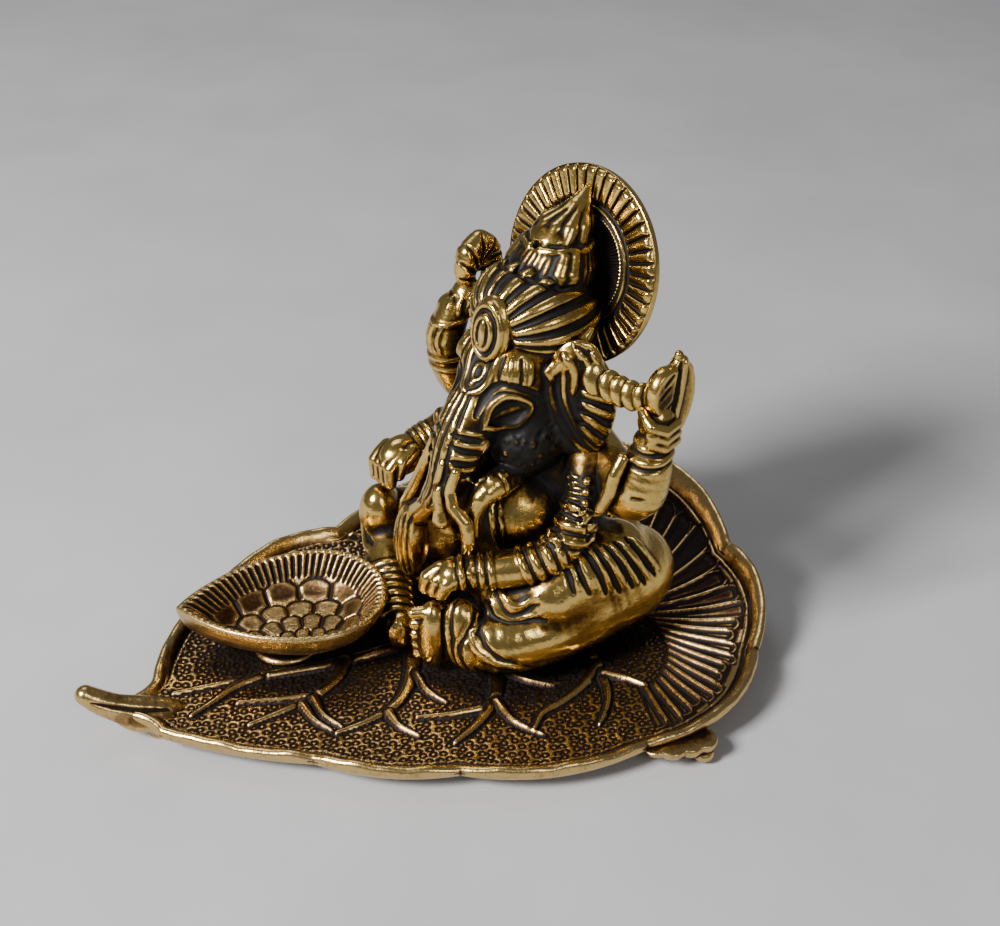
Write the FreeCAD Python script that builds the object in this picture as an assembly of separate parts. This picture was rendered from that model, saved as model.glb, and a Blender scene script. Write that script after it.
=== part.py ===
"""Seated elephant-headed figure and a small oil lamp on a leaf tray, a cast-metal table ornament.

Millimetres. +Z is up and the table is z = 0. The leaf's tip points along -X and its wide fan end
along +X. The origin is on the table, under the middle of the tray. The figure is built in its own
frame (x forwards, y to its own left, z up from the tray's seat) and then turned onto the tray.
"""
import FreeCAD
import Part
import math
import os

V = FreeCAD.Vector

# Tray
FLOOR_Z = 4.6                 # top of the tray's flat middle
SEAT_Z = 5.0                  # top of the two raised seats that the figure and the lamp stand on
SHEET = 2.0                   # thickness of the tray
RIM_WIDTH = 2.8               # width of the raised lip
RIM_LIP = 1.6                 # height of the lip over the tray's edge
TRAY_CENTRE = (8.0, -2.0)     # where the tray's rise towards the rim is measured from
RISE_POWER = 6                # a high power keeps the middle flat
GRID_STEP = 5.0               # spacing of the poles of the tray's curved surface
GRID_MARGIN = 12.0            # the surface is made this much larger than the leaf
SPLINE_DEGREE = 3
OVERSIZE = 60.0               # longer than anything that a cutting shape has to pass through

# Scallop corners round the leaf, anticlockwise from the notch at the fan end:
# x, y, height of the edge, and how far the edge bows out on its way to the next corner.
SCALLOPS = [
    (81.0, 2.9, 17.0, 7.0),
    (62.0, 50.0, 22.0, 4.5),
    (25.0, 56.2, 16.0, 4.0),
    (-15.7, 41.5, 9.5, 4.2),
    (-47.0, 27.5, 7.5, 3.2),
    (-66.5, -6.0, 6.5, -1.8),
    (-76.0, -12.6, 7.0, 0.0),
    (-76.0, -18.0, 7.0, -1.8),
    (-66.0, -25.0, 6.2, 1.2),
    (-33.5, -41.5, 6.2, 2.6),
    (-2.8, -52.6, 6.2, 4.4),
    (39.5, -55.1, 6.4, 7.0),
    (75.0, -32.4, 8.8, 4.6),
]

# Rolled tip: x, y, z and radius along its middle
TIP_PATH = [
    (-66.0, -15.6, 5.2, 3.2),
    (-73.0, -15.5, 6.4, 3.0),
    (-78.0, -15.1, 9.4, 2.6),
    (-81.0, -14.7, 12.6, 2.2),
]

# Feet: name, x, y, radius on the table, radius at the top, height before the tray trims it
FEET = [
    ("foot_tip", -65.5, -16.5, 4.4, 5.2, 6.0),
    ("foot_front", 48.0, -51.0, 4.4, 5.6, 6.0),
    ("foot_back", 38.0, 44.0, 4.4, 6.0, 16.0),
]

# Seats and the screws that come up through them
FIGURE_ORIGIN = (25.0, 2.0)
FIGURE_FACING = 207.5         # degrees from +X to the way the figure looks
SEAT_REACH = 24.0             # the figure's oval seat, from its middle to the front
SEAT_HALF_WIDTH = 26.0        # and to the side
LAMP_ORIGIN = (-34.0, 1.0)
LAMP_FACING = 176.0           # degrees from +X to the way the spout points
LAMP_SEAT_RADIUS = 8.5
SCREW_RADIUS = 1.5
SCREW_CLEARANCE = 0.2
SCREW_DEPTH = 6.0             # threaded length above the seat, in the figure
LAMP_SCREW_DEPTH = 2.6        # the lamp's post is short, so its screw stops lower
SCREW_HEAD_RADIUS = 2.8
SCREW_HEAD_HEIGHT = 1.4
WASHER_RADIUS = 3.4
WASHER_THICKNESS = 0.4
FIGURE_SCREWS = [(-8.0, 0.0), (8.0, 0.0)]

# A limb's rounded end: how far each extra ring stands out, and its size, in end radii
LIMB_END = [(0.5, 0.87), (0.87, 0.5)]

# Halo
HALO_CENTRE = V(-17.8, 0, 89.0)
HALO_LEAN = 13.0
HALO_RADIUS = 22.7
HALO_BAND = 6.5
HALO_THICKNESS = 3.0
HALO_WEB = 1.4

# Lamp bowl
LAMP_LENGTH = 50.0
LAMP_WIDTH = 35.0
LAMP_RIM_Z = 15.0             # above the seat
LAMP_BASE_Z = 4.6
LAMP_WALL = 2.2
LAMP_SIDE_REACH = 0.5         # a point on each bowed side: this far towards the spout
LAMP_SIDE_WIDTH = 0.78        # and this wide, in half widths
LAMP_FOOT_SHARE = (0.42, 0.46)  # length and width of the bowl's underside, as shares of the rim's
LAMP_BELLY_SHARE = 0.86       # size of the bowl half way up, as a share of the rim's
LAMP_HOLLOW_SHARE = 0.88      # the same for the hollow inside, before the wall is taken off


def turned(shape, origin, facing):
    """Put a shape made in its own frame onto the tray's seat."""
    placed = shape.copy()
    base = V(origin[0], origin[1], SEAT_Z)
    placed.Placement = FreeCAD.Placement(base, FreeCAD.Rotation(V(0, 0, 1), facing))
    return placed


def on_figure(shape):
    return turned(shape, FIGURE_ORIGIN, FIGURE_FACING)


def ellipsoid(centre, radii, tilt=0.0, tilt_axis=V(0, 1, 0)):
    """A closed ellipsoid, turned about its own centre."""
    matrix = FreeCAD.Matrix()
    matrix.scale(V(*radii))
    ball = Part.makeSphere(1.0).transformGeometry(matrix)
    ball.rotate(V(0, 0, 0), tilt_axis, tilt)
    ball.translate(centre)
    return ball


def limb(stations):
    """A smooth limb with rounded ends, through stations of x, y, z and radius."""
    points = [V(s[0], s[1], s[2]) for s in stations]
    radii = [s[3] for s in stations]
    first_way = (points[0] - points[1]).normalize()
    last_way = (points[-1] - points[-2]).normalize()
    rings = []
    for reach, size in reversed(LIMB_END):
        rings.append((points[0] + first_way * (reach * radii[0]), first_way * -1, size * radii[0]))
    for i, point in enumerate(points):
        before = points[max(i - 1, 0)]
        after = points[min(i + 1, len(points) - 1)]
        rings.append((point, after - before, radii[i]))
    for reach, size in LIMB_END:
        rings.append((points[-1] + last_way * (reach * radii[-1]), last_way, size * radii[-1]))
    wires = [Part.Wire([Part.Circle(*ring).toShape()]) for ring in rings]
    return Part.makeLoft(wires, True)


def joined(shapes):
    """Fuse overlapping shapes into one clean solid."""
    body = shapes[0].multiFuse(shapes[1:])
    return body.removeSplitter()


def trimmed(shape, *neighbours):
    """Cut the neighbours away one after another, keeping the largest solid that is left."""
    for neighbour in neighbours:
        shape = max(shape.cut(neighbour).Solids, key=lambda solid: solid.Volume)
    return shape


# ---------------------------------------------------------------- tray

def edge_point(angle):
    """Distance from the tray's centre to its edge, and the edge's height, at an angle in radians."""
    polar = []
    for x, y, z, bow in SCALLOPS:
        dx = x - TRAY_CENTRE[0]
        dy = y - TRAY_CENTRE[1]
        polar.append((math.atan2(dy, dx), math.hypot(dx, dy) + max(bow, 0.0) / 2, z))
    polar.sort()
    first = polar[0]
    last = polar[-1]
    polar.insert(0, (last[0] - 2 * math.pi, last[1], last[2]))
    polar.append((first[0] + 2 * math.pi, first[1], first[2]))
    for near, far in zip(polar, polar[1:]):
        if near[0] <= angle <= far[0]:
            t = (angle - near[0]) / (far[0] - near[0])
            ease = t * t * (3 - 2 * t)
            return near[1] + t * (far[1] - near[1]), near[2] + ease * (far[2] - near[2])
    return first[1], first[2]


def tray_height(x, y):
    """Height of the tray's upper surface."""
    dx = x - TRAY_CENTRE[0]
    dy = y - TRAY_CENTRE[1]
    reach, edge_z = edge_point(math.atan2(dy, dx))
    part_way = min(math.hypot(dx, dy) / reach, 1.15)
    return FLOOR_Z + (edge_z - FLOOR_Z) * part_way ** RISE_POWER


def clamped_knots(count):
    """Knots and multiplicities of a clamped uniform B-spline through a number of poles."""
    knots = list(range(count - SPLINE_DEGREE + 1))
    mults = [SPLINE_DEGREE + 1] + [1] * (len(knots) - 2) + [SPLINE_DEGREE + 1]
    return knots, mults


def tray_surface():
    """The tray's upper surface as one face, larger than the leaf. Its poles lie on the height
    function, so it is smooth and never dips below the flat middle."""
    corner_xs = [corner[0] for corner in SCALLOPS]
    corner_ys = [corner[1] for corner in SCALLOPS]
    low_x = min(corner_xs) - GRID_MARGIN
    low_y = min(corner_ys) - GRID_MARGIN
    columns = int((max(corner_xs) + GRID_MARGIN - low_x) / GRID_STEP) + 2
    rows = int((max(corner_ys) + GRID_MARGIN - low_y) / GRID_STEP) + 2
    poles = []
    for i in range(columns):
        x = low_x + i * GRID_STEP
        ys = [low_y + j * GRID_STEP for j in range(rows)]
        poles.append([V(x, y, tray_height(x, y)) for y in ys])
    u_knots, u_mults = clamped_knots(columns)
    v_knots, v_mults = clamped_knots(rows)
    surface = Part.BSplineSurface()
    surface.buildFromPolesMultsKnots(poles, u_mults, v_mults, u_knots, v_knots, False, False,
                                     SPLINE_DEGREE, SPLINE_DEGREE)
    return surface.toShape()


def leaf_outline():
    """The leaf's scalloped outline at z = 0, arcs between the corners."""
    edges = []
    count = len(SCALLOPS)
    for i in range(count):
        x0, y0, _, bow = SCALLOPS[i]
        x1, y1 = SCALLOPS[(i + 1) % count][:2]
        start = V(x0, y0, 0)
        end = V(x1, y1, 0)
        if bow == 0.0:
            edges.append(Part.LineSegment(start, end).toShape())
            continue
        along = end - start
        outward = V(along.y, -along.x, 0)
        outward.normalize()
        middle = (start + end) * 0.5 + outward * bow
        edges.append(Part.Arc(start, middle, end).toShape())
    return Part.Wire(edges)


def screw_places():
    """World x, y of each screw, with its threaded depth over the seat."""
    places = []
    turn = FreeCAD.Rotation(V(0, 0, 1), FIGURE_FACING)
    for x, y in FIGURE_SCREWS:
        spot = turn.multVec(V(x, y, 0)) + V(FIGURE_ORIGIN[0], FIGURE_ORIGIN[1], 0)
        places.append((spot.x, spot.y, SCREW_DEPTH))
    places.append((LAMP_ORIGIN[0], LAMP_ORIGIN[1], LAMP_SCREW_DEPTH))
    return places


def make_leaf_plate():
    outline = leaf_outline()
    inner = outline.makeOffset2D(-RIM_WIDTH)
    tall = V(0, 0, OVERSIZE)
    inside = Part.Face(outline).extrude(tall)
    hollow = Part.Face(inner).extrude(tall)
    surface = tray_surface()
    sheet = surface.translated(V(0, 0, -SHEET)).extrude(V(0, 0, SHEET))
    lip = surface.translated(V(0, 0, -SHEET / 2)).extrude(V(0, 0, SHEET / 2 + RIM_LIP))
    plate = sheet.common(inside)
    rim = lip.common(inside.cut(hollow))
    figure_seat = Part.makeCylinder(1.0, SHEET / 2 + SEAT_Z - FLOOR_Z)
    stretch = FreeCAD.Matrix()
    stretch.scale(V(SEAT_REACH, SEAT_HALF_WIDTH, 1.0))
    figure_seat = figure_seat.transformGeometry(stretch)
    figure_seat.translate(V(0, 0, FLOOR_Z - SHEET / 2 - SEAT_Z))
    lamp_seat = Part.makeCylinder(LAMP_SEAT_RADIUS, SHEET / 2 + SEAT_Z - FLOOR_Z,
                                  V(LAMP_ORIGIN[0], LAMP_ORIGIN[1], FLOOR_Z - SHEET / 2))
    plate = plate.multiFuse([rim, on_figure(figure_seat), lamp_seat, limb(TIP_PATH)])
    holes = []
    for x, y, _ in screw_places():
        holes.append(Part.makeCylinder(SCREW_RADIUS + SCREW_CLEARANCE, OVERSIZE, V(x, y, -OVERSIZE / 2)))
    return max(plate.cut(holes).Solids, key=lambda solid: solid.Volume)


def make_foot(x, y, low_radius, high_radius, height, plate):
    cone = Part.makeCone(low_radius, high_radius, height, V(x, y, 0))
    rest = cone.cut(plate)
    return min(rest.Solids, key=lambda solid: solid.BoundBox.ZMin)


def make_screws():
    solids = []
    for x, y, depth in screw_places():
        top = SEAT_Z + depth
        head_top = FLOOR_Z - SHEET - WASHER_THICKNESS
        shank = Part.makeCylinder(SCREW_RADIUS, top - head_top, V(x, y, head_top))
        head = Part.makeCylinder(SCREW_HEAD_RADIUS, SCREW_HEAD_HEIGHT, V(x, y, head_top - SCREW_HEAD_HEIGHT))
        solids.append(shank.fuse(head).removeSplitter().Solids[0])
    return Part.makeCompound(solids)


def make_washers():
    solids = []
    for x, y, _ in screw_places():
        base = V(x, y, FLOOR_Z - SHEET - WASHER_THICKNESS)
        disc = Part.makeCylinder(WASHER_RADIUS, WASHER_THICKNESS, base)
        bore = Part.makeCylinder(SCREW_RADIUS + SCREW_CLEARANCE, WASHER_THICKNESS, base)
        solids.append(disc.cut(bore).Solids[0])
    return Part.makeCompound(solids)


# ---------------------------------------------------------------- figure, in its own frame

def make_body():
    """Belly, chest, hips and both folded legs, flat underneath, with the two screw holes."""
    masses = [
        ellipsoid(V(-6, 0, 22), (16, 18, 19)),
        ellipsoid(V(-8, 0, 43), (12, 18, 14)),
        ellipsoid(V(-6, 0, 8), (19, 26, 10)),
        limb([(-13, 14, 13, 11), (-6, 20, 13, 13), (4, 23, 12, 11.5)]),
        limb([(-13, -14, 12, 11), (-5, -20, 12, 12.5), (4, -23, 12, 11)]),
        limb([(2, 23, 12, 9.5), (14, 20, 8.5, 8), (24, 12, 7.5, 6.5), (29, 5, 8, 5.5)]),
        ellipsoid(V(31, 4, 8), (4.5, 5.5, 8.5)),
        limb([(2, -24, 12, 9), (12, -30, 17, 7.5), (17, -33, 19, 6.5)]),
        limb([(17, -32, 18, 6), (22, -24, 11, 6), (26, -16, 6, 5)]),
    ]
    body = joined(masses)
    above_seat = Part.makeBox(2 * OVERSIZE, 2 * OVERSIZE, OVERSIZE, V(-OVERSIZE, -OVERSIZE, 0))
    body = body.common(above_seat)
    holes = []
    for x, y in FIGURE_SCREWS:
        holes.append(Part.makeCylinder(SCREW_RADIUS, SCREW_DEPTH, V(x, y, 0)))
    return trimmed(body, *holes)


def make_head():
    """Elephant head with both ears, the tusks and the trunk."""
    skull = ellipsoid(V(0, 0, 66), (14, 13, 15))
    trunk = limb([(9, 0, 68, 7), (15, 0, 60, 6), (19.5, 0.5, 52, 5), (23, 2, 44, 4.2), (25, 5, 37, 3.6)])
    pieces = [skull, trunk]
    for side in (1, -1):
        pieces.append(ellipsoid(V(-1, side * 16, 66), (3.2, 8, 15), side * -14, V(0, 0, 1)))
        tusk = [(12, side * 6, 56, 2.6), (16, side * 7.5, 50, 2.0), (19, side * 8, 43, 1.3)]
        pieces.append(limb(tusk))
    return joined(pieces)


def make_turban():
    dome = ellipsoid(V(-4, 0, 82), (14.5, 14.5, 12), -20)
    tiers = [
        Part.makeCone(9.5, 8.0, 7, V(-7.5, 0, 89), V(-0.5, 0, 0.87)),
        Part.makeCone(7.0, 1.2, 13, V(-10.5, 0, 94), V(-0.5, 0, 0.87)),
    ]
    return joined([dome] + tiers)


def make_brooch():
    return ellipsoid(V(9.3, 0, 81.5), (3.2, 4.6, 7.0), -14)


def stood_at_halo(shape):
    """Turn a shape made flat, facing up, to stand and lean where the halo is."""
    shape.rotate(V(0, 0, 0), V(0, 1, 0), 90 - HALO_LEAN)
    shape.translate(HALO_CENTRE)
    return shape


def make_halo():
    """Round halo: a thin web with a thick band round it."""
    disc = Part.makeCylinder(HALO_RADIUS, HALO_THICKNESS, V(0, 0, -HALO_THICKNESS / 2))
    web_front = V(0, 0, HALO_WEB - HALO_THICKNESS / 2)
    recess = Part.makeCylinder(HALO_RADIUS - HALO_BAND, HALO_THICKNESS, web_front)
    return stood_at_halo(disc.cut(recess)).Solids[0]


def behind_halo():
    """The space behind the front of the halo's web, where nothing in front of it may reach."""
    front = HALO_WEB - HALO_THICKNESS / 2
    return stood_at_halo(Part.makeCylinder(2 * HALO_RADIUS, OVERSIZE, V(0, 0, front - OVERSIZE)))


def make_left_rear_arm():
    stations = [(-10, 14, 50, 6.5), (-9, 25, 46, 6.4), (-7, 32, 46, 6.2), (-7, 34, 54, 5), (-8.5, 33, 62, 4)]
    hand = ellipsoid(V(-9, 32.5, 67), (4, 4.6, 5.5))
    return joined([limb(stations), hand])


def make_axe():
    """Ringed handle through the left rear hand, with the curved blade at its end."""
    handle = limb([(-6, 19, 79, 2.4), (-8, 27, 75, 2.4), (-11, 35, 71, 2.4)])
    outer = Part.makeCylinder(13, 4, V(0, 0, -2))
    bite = Part.makeCylinder(11.5, 6, V(-7, 0, -3))
    blade = outer.cut(bite)
    blade.rotate(V(0, 0, 0), V(1, 0, 0), 90)
    blade.rotate(V(0, 0, 0), V(0, 0, 1), 110)
    blade.translate(V(-10.5, 28, 69))
    return joined([handle, blade])


def make_right_rear_arm():
    shoulder = [(-10, -14, 49, 6.5), (-8, -22, 50, 6.2), (-4, -27, 56, 5.6)]
    forearm = [(-3, -27, 66, 4.8), (-5, -26, 74, 3.8)]
    hand = ellipsoid(V(-6, -25.5, 79), (3.6, 4.2, 5))
    return joined([limb(shoulder + forearm), hand])


def make_noose():
    """Looped cord that stands up out of the right rear hand."""
    ring = Part.makeTorus(4.2, 1.9)
    ring.rotate(V(0, 0, 0), V(0, 1, 0), 90)
    ring.translate(V(-8, -24.5, 86.5))
    return ring


def make_left_front_arm():
    stations = [(-5, 17, 46, 6.5), (-1, 24, 37, 6.4), (5, 24, 29, 6), (14, 18, 26, 5.4), (22, 11, 26, 4.2)]
    hand = ellipsoid(V(27, 7, 26), (5.5, 4.8, 4))
    return joined([limb(stations), hand])


def make_right_front_arm():
    stations = [(-5, -17, 46, 6.5), (-2, -25, 39, 6), (2, -29, 34, 5.4), (7, -30, 34, 4.6), (11, -30, 37, 4)]
    hand = ellipsoid(V(14, -30, 41), (4.2, 4.6, 7.5))
    return joined([limb(stations), hand])


# ---------------------------------------------------------------- lamp, in its own frame

def teardrop(length, width, z):
    """Closed teardrop wire: a round end at -x and a pointed spout with bowed sides at +x."""
    radius = width / 2
    centre_x = radius - length / 2
    tip = V(length / 2, 0, z)
    left = V(centre_x, radius, z)
    right = V(centre_x, -radius, z)
    back = V(centre_x - radius, 0, z)
    half_way = centre_x + LAMP_SIDE_REACH * (tip.x - centre_x)
    left_side = V(half_way, radius * LAMP_SIDE_WIDTH, z)
    right_side = V(half_way, -radius * LAMP_SIDE_WIDTH, z)
    return Part.Wire([
        Part.Arc(left, back, right).toShape(),
        Part.Arc(right, right_side, tip).toShape(),
        Part.Arc(tip, left_side, left).toShape(),
    ])


def make_diya_bowl():
    half_way = (LAMP_BASE_Z + LAMP_RIM_Z) / 2
    outside = Part.makeLoft([
        teardrop(LAMP_LENGTH * LAMP_FOOT_SHARE[0], LAMP_WIDTH * LAMP_FOOT_SHARE[1], LAMP_BASE_Z),
        teardrop(LAMP_LENGTH * LAMP_BELLY_SHARE, LAMP_WIDTH * LAMP_BELLY_SHARE, half_way),
        teardrop(LAMP_LENGTH, LAMP_WIDTH, LAMP_RIM_Z),
    ], True)
    floor_z = LAMP_BASE_Z + LAMP_WALL
    inset = 2 * LAMP_WALL
    foot_length = LAMP_LENGTH * LAMP_FOOT_SHARE[0] - inset / 2
    foot_width = LAMP_WIDTH * LAMP_FOOT_SHARE[1] - inset / 2
    belly_length = LAMP_LENGTH * LAMP_HOLLOW_SHARE - inset
    belly_width = LAMP_WIDTH * LAMP_HOLLOW_SHARE - inset
    inside = Part.makeLoft([
        teardrop(foot_length, foot_width, floor_z),
        teardrop(belly_length, belly_width, (floor_z + LAMP_RIM_Z) / 2),
        teardrop(LAMP_LENGTH - 1.5 * inset, LAMP_WIDTH - inset, LAMP_RIM_Z + 0.01),
    ], True)
    return outside.cut(inside).Solids[0]


def make_diya_stem():
    post = Part.makeCone(LAMP_SEAT_RADIUS - 0.5, 5.5, LAMP_BASE_Z)
    hole = Part.makeCylinder(SCREW_RADIUS, LAMP_SCREW_DEPTH)
    return post.cut(hole).Solids[0]


def build():
    """Every piece by name, each trimmed so that it meets its neighbours without overlap."""
    nodes = {}
    plate = make_leaf_plate()
    nodes["leaf_plate"] = plate
    for name, *foot in FEET:
        nodes[name] = make_foot(*foot, plate)
    body = make_body()
    head = trimmed(make_head(), body)
    turban = trimmed(make_turban(), head, behind_halo())
    halo = trimmed(make_halo(), turban, head)
    brooch = trimmed(make_brooch(), turban, head)
    left_rear = trimmed(make_left_rear_arm(), body, head)
    axe = trimmed(make_axe(), left_rear, head, halo, turban)
    right_rear = trimmed(make_right_rear_arm(), body, head)
    noose = trimmed(make_noose(), right_rear, halo, turban)
    left_front = trimmed(make_left_front_arm(), body, head, left_rear)
    right_front = trimmed(make_right_front_arm(), body, head, right_rear)
    figure = {
        "figure_body": body,
        "head": head,
        "turban": turban,
        "turban_brooch": brooch,
        "halo": halo,
        "left_rear_arm": left_rear,
        "axe": axe,
        "right_rear_arm": right_rear,
        "noose": noose,
        "left_front_arm": left_front,
        "right_front_arm": right_front,
    }
    for name, shape in figure.items():
        nodes[name] = on_figure(shape)
    nodes["diya_stem"] = turned(make_diya_stem(), LAMP_ORIGIN, LAMP_FACING)
    nodes["diya_bowl"] = turned(make_diya_bowl(), LAMP_ORIGIN, LAMP_FACING)
    nodes["mounting_screws"] = make_screws()
    nodes["mounting_washers"] = make_washers()
    return nodes


os.makedirs("parts", exist_ok=True)
for node_name, node_shape in build().items():
    node_shape.exportStep("parts/" + node_name + ".step")
    print(node_name, node_shape.isValid(), len(node_shape.Solids), round(node_shape.Volume, 1))
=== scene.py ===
import math

import bpy
import numpy as np
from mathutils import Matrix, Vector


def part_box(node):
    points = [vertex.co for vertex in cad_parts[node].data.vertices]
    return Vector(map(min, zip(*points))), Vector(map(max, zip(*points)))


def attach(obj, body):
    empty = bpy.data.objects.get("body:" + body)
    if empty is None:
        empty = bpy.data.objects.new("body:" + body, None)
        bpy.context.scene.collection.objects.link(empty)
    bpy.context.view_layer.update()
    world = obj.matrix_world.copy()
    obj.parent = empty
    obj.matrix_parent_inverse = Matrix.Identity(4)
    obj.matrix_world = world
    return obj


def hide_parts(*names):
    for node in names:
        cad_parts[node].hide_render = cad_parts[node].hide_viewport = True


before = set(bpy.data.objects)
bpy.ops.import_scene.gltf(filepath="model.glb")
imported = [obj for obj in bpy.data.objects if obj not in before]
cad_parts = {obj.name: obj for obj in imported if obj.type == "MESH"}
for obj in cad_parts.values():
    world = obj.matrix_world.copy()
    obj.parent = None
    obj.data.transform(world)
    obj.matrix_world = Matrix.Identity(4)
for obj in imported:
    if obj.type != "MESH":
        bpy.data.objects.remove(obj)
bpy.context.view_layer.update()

import openvdb
from mathutils import Vector

MM = 0.001
COARSEN = 1.0   # larger grid steps while trying things


# ---------------------------------------------------------------- places, taken from the frame

def washer_middles():
    """Middle of each mounting washer in mm, from the lamp's to the figure's rear one."""
    gap = 4.0
    points = sorted(tuple(v.co / MM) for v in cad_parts["mounting_washers"].data.vertices)
    groups = [[points[0]]]
    for point in points[1:]:
        if point[0] - groups[-1][-1][0] > gap:
            groups.append([])
        groups[-1].append(point)
    return [(np.min(g, axis=0) + np.max(g, axis=0)) / 2 for g in groups]


class Place:
    """An upright frame: its origin in mm, and the way its x axis points."""

    def __init__(self, x, y, z, ahead):
        self.origin = np.array([x, y, z])
        self.ahead = np.array([ahead[0], ahead[1], 0.0]) / math.hypot(ahead[0], ahead[1])
        self.left = np.array([-self.ahead[1], self.ahead[0], 0.0])

    def world(self, points):
        points = np.asarray(points, float)
        return (self.origin + points[:, 0:1] * self.ahead + points[:, 1:2] * self.left
                + points[:, 2:3] * np.array([0.0, 0.0, 1.0]))


LAMP_TURN = math.radians(176.0)   # the way the spout points
lamp_washer, front_washer, rear_washer = washer_middles()
SEAT_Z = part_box("figure_body")[0].z / MM
ON_ROW = Place(0.0, 0.0, 0.0, (1.0, 0.0))
ON_FIGURE = Place(*((front_washer + rear_washer) / 2)[:2], SEAT_Z, front_washer - rear_washer)
ON_LAMP = Place(*lamp_washer[:2], SEAT_Z, (math.cos(LAMP_TURN), math.sin(LAMP_TURN)))


# ---------------------------------------------------------------- modelling tools

def turned(x=0.0, y=0.0, z=0.0):
    """Rotation matrix for turns in degrees about x, then y, then z."""
    a, b, c = (math.radians(v) for v in (x, y, z))
    about_x = np.array([[1, 0, 0], [0, math.cos(a), -math.sin(a)], [0, math.sin(a), math.cos(a)]])
    about_y = np.array([[math.cos(b), 0, math.sin(b)], [0, 1, 0], [-math.sin(b), 0, math.cos(b)]])
    about_z = np.array([[math.cos(c), -math.sin(c), 0], [math.sin(c), math.cos(c), 0], [0, 0, 1]])
    return about_z @ about_y @ about_x


def smooth_path(points, spacing):
    """Catmull-Rom curve through points of any dimension, with about this spacing."""
    points = np.asarray(points, float)
    if len(points) < 3:
        count = max(int(np.linalg.norm((points[1] - points[0])[:3]) / spacing), 1) + 1
        return points[0] + np.linspace(0, 1, count)[:, None] * (points[1] - points[0])
    padded = np.vstack([2 * points[0] - points[1], points, 2 * points[-1] - points[-2]])
    rows = []
    for i in range(len(points) - 1):
        a, b, c, d = padded[i:i + 4]
        count = max(int(np.linalg.norm((c - b)[:3]) / spacing), 1)
        t = (np.arange(count) / count)[:, None]
        rows.append(0.5 * (2 * b + (c - a) * t + (2 * a - 5 * b + 4 * c - d) * t ** 2
                           + (3 * b - a - 3 * c + d) * t ** 3))
    rows.append(points[-1:])
    return np.vstack(rows)


def kept(points, faces, keep):
    """Only the faces whose points are all kept, and only the points they use."""
    faces = faces[keep[faces].all(1)]
    used = np.unique(faces)
    renumber = np.zeros(len(points), int)
    renumber[used] = np.arange(len(used))
    return points[used], renumber[faces]


def largest_part(points, faces):
    """Only a surface's largest connected part: the crumbs that carving leaves are dropped."""
    part = np.arange(len(points))
    settled = False
    while not settled:
        lowest = part.copy()
        np.minimum.at(lowest, faces.ravel(), np.repeat(part[faces].min(1), faces.shape[1]))
        lowest = lowest[lowest]
        settled = np.array_equal(lowest, part)
        part = lowest
    return kept(points, faces, part == np.bincount(part).argmax())


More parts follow.
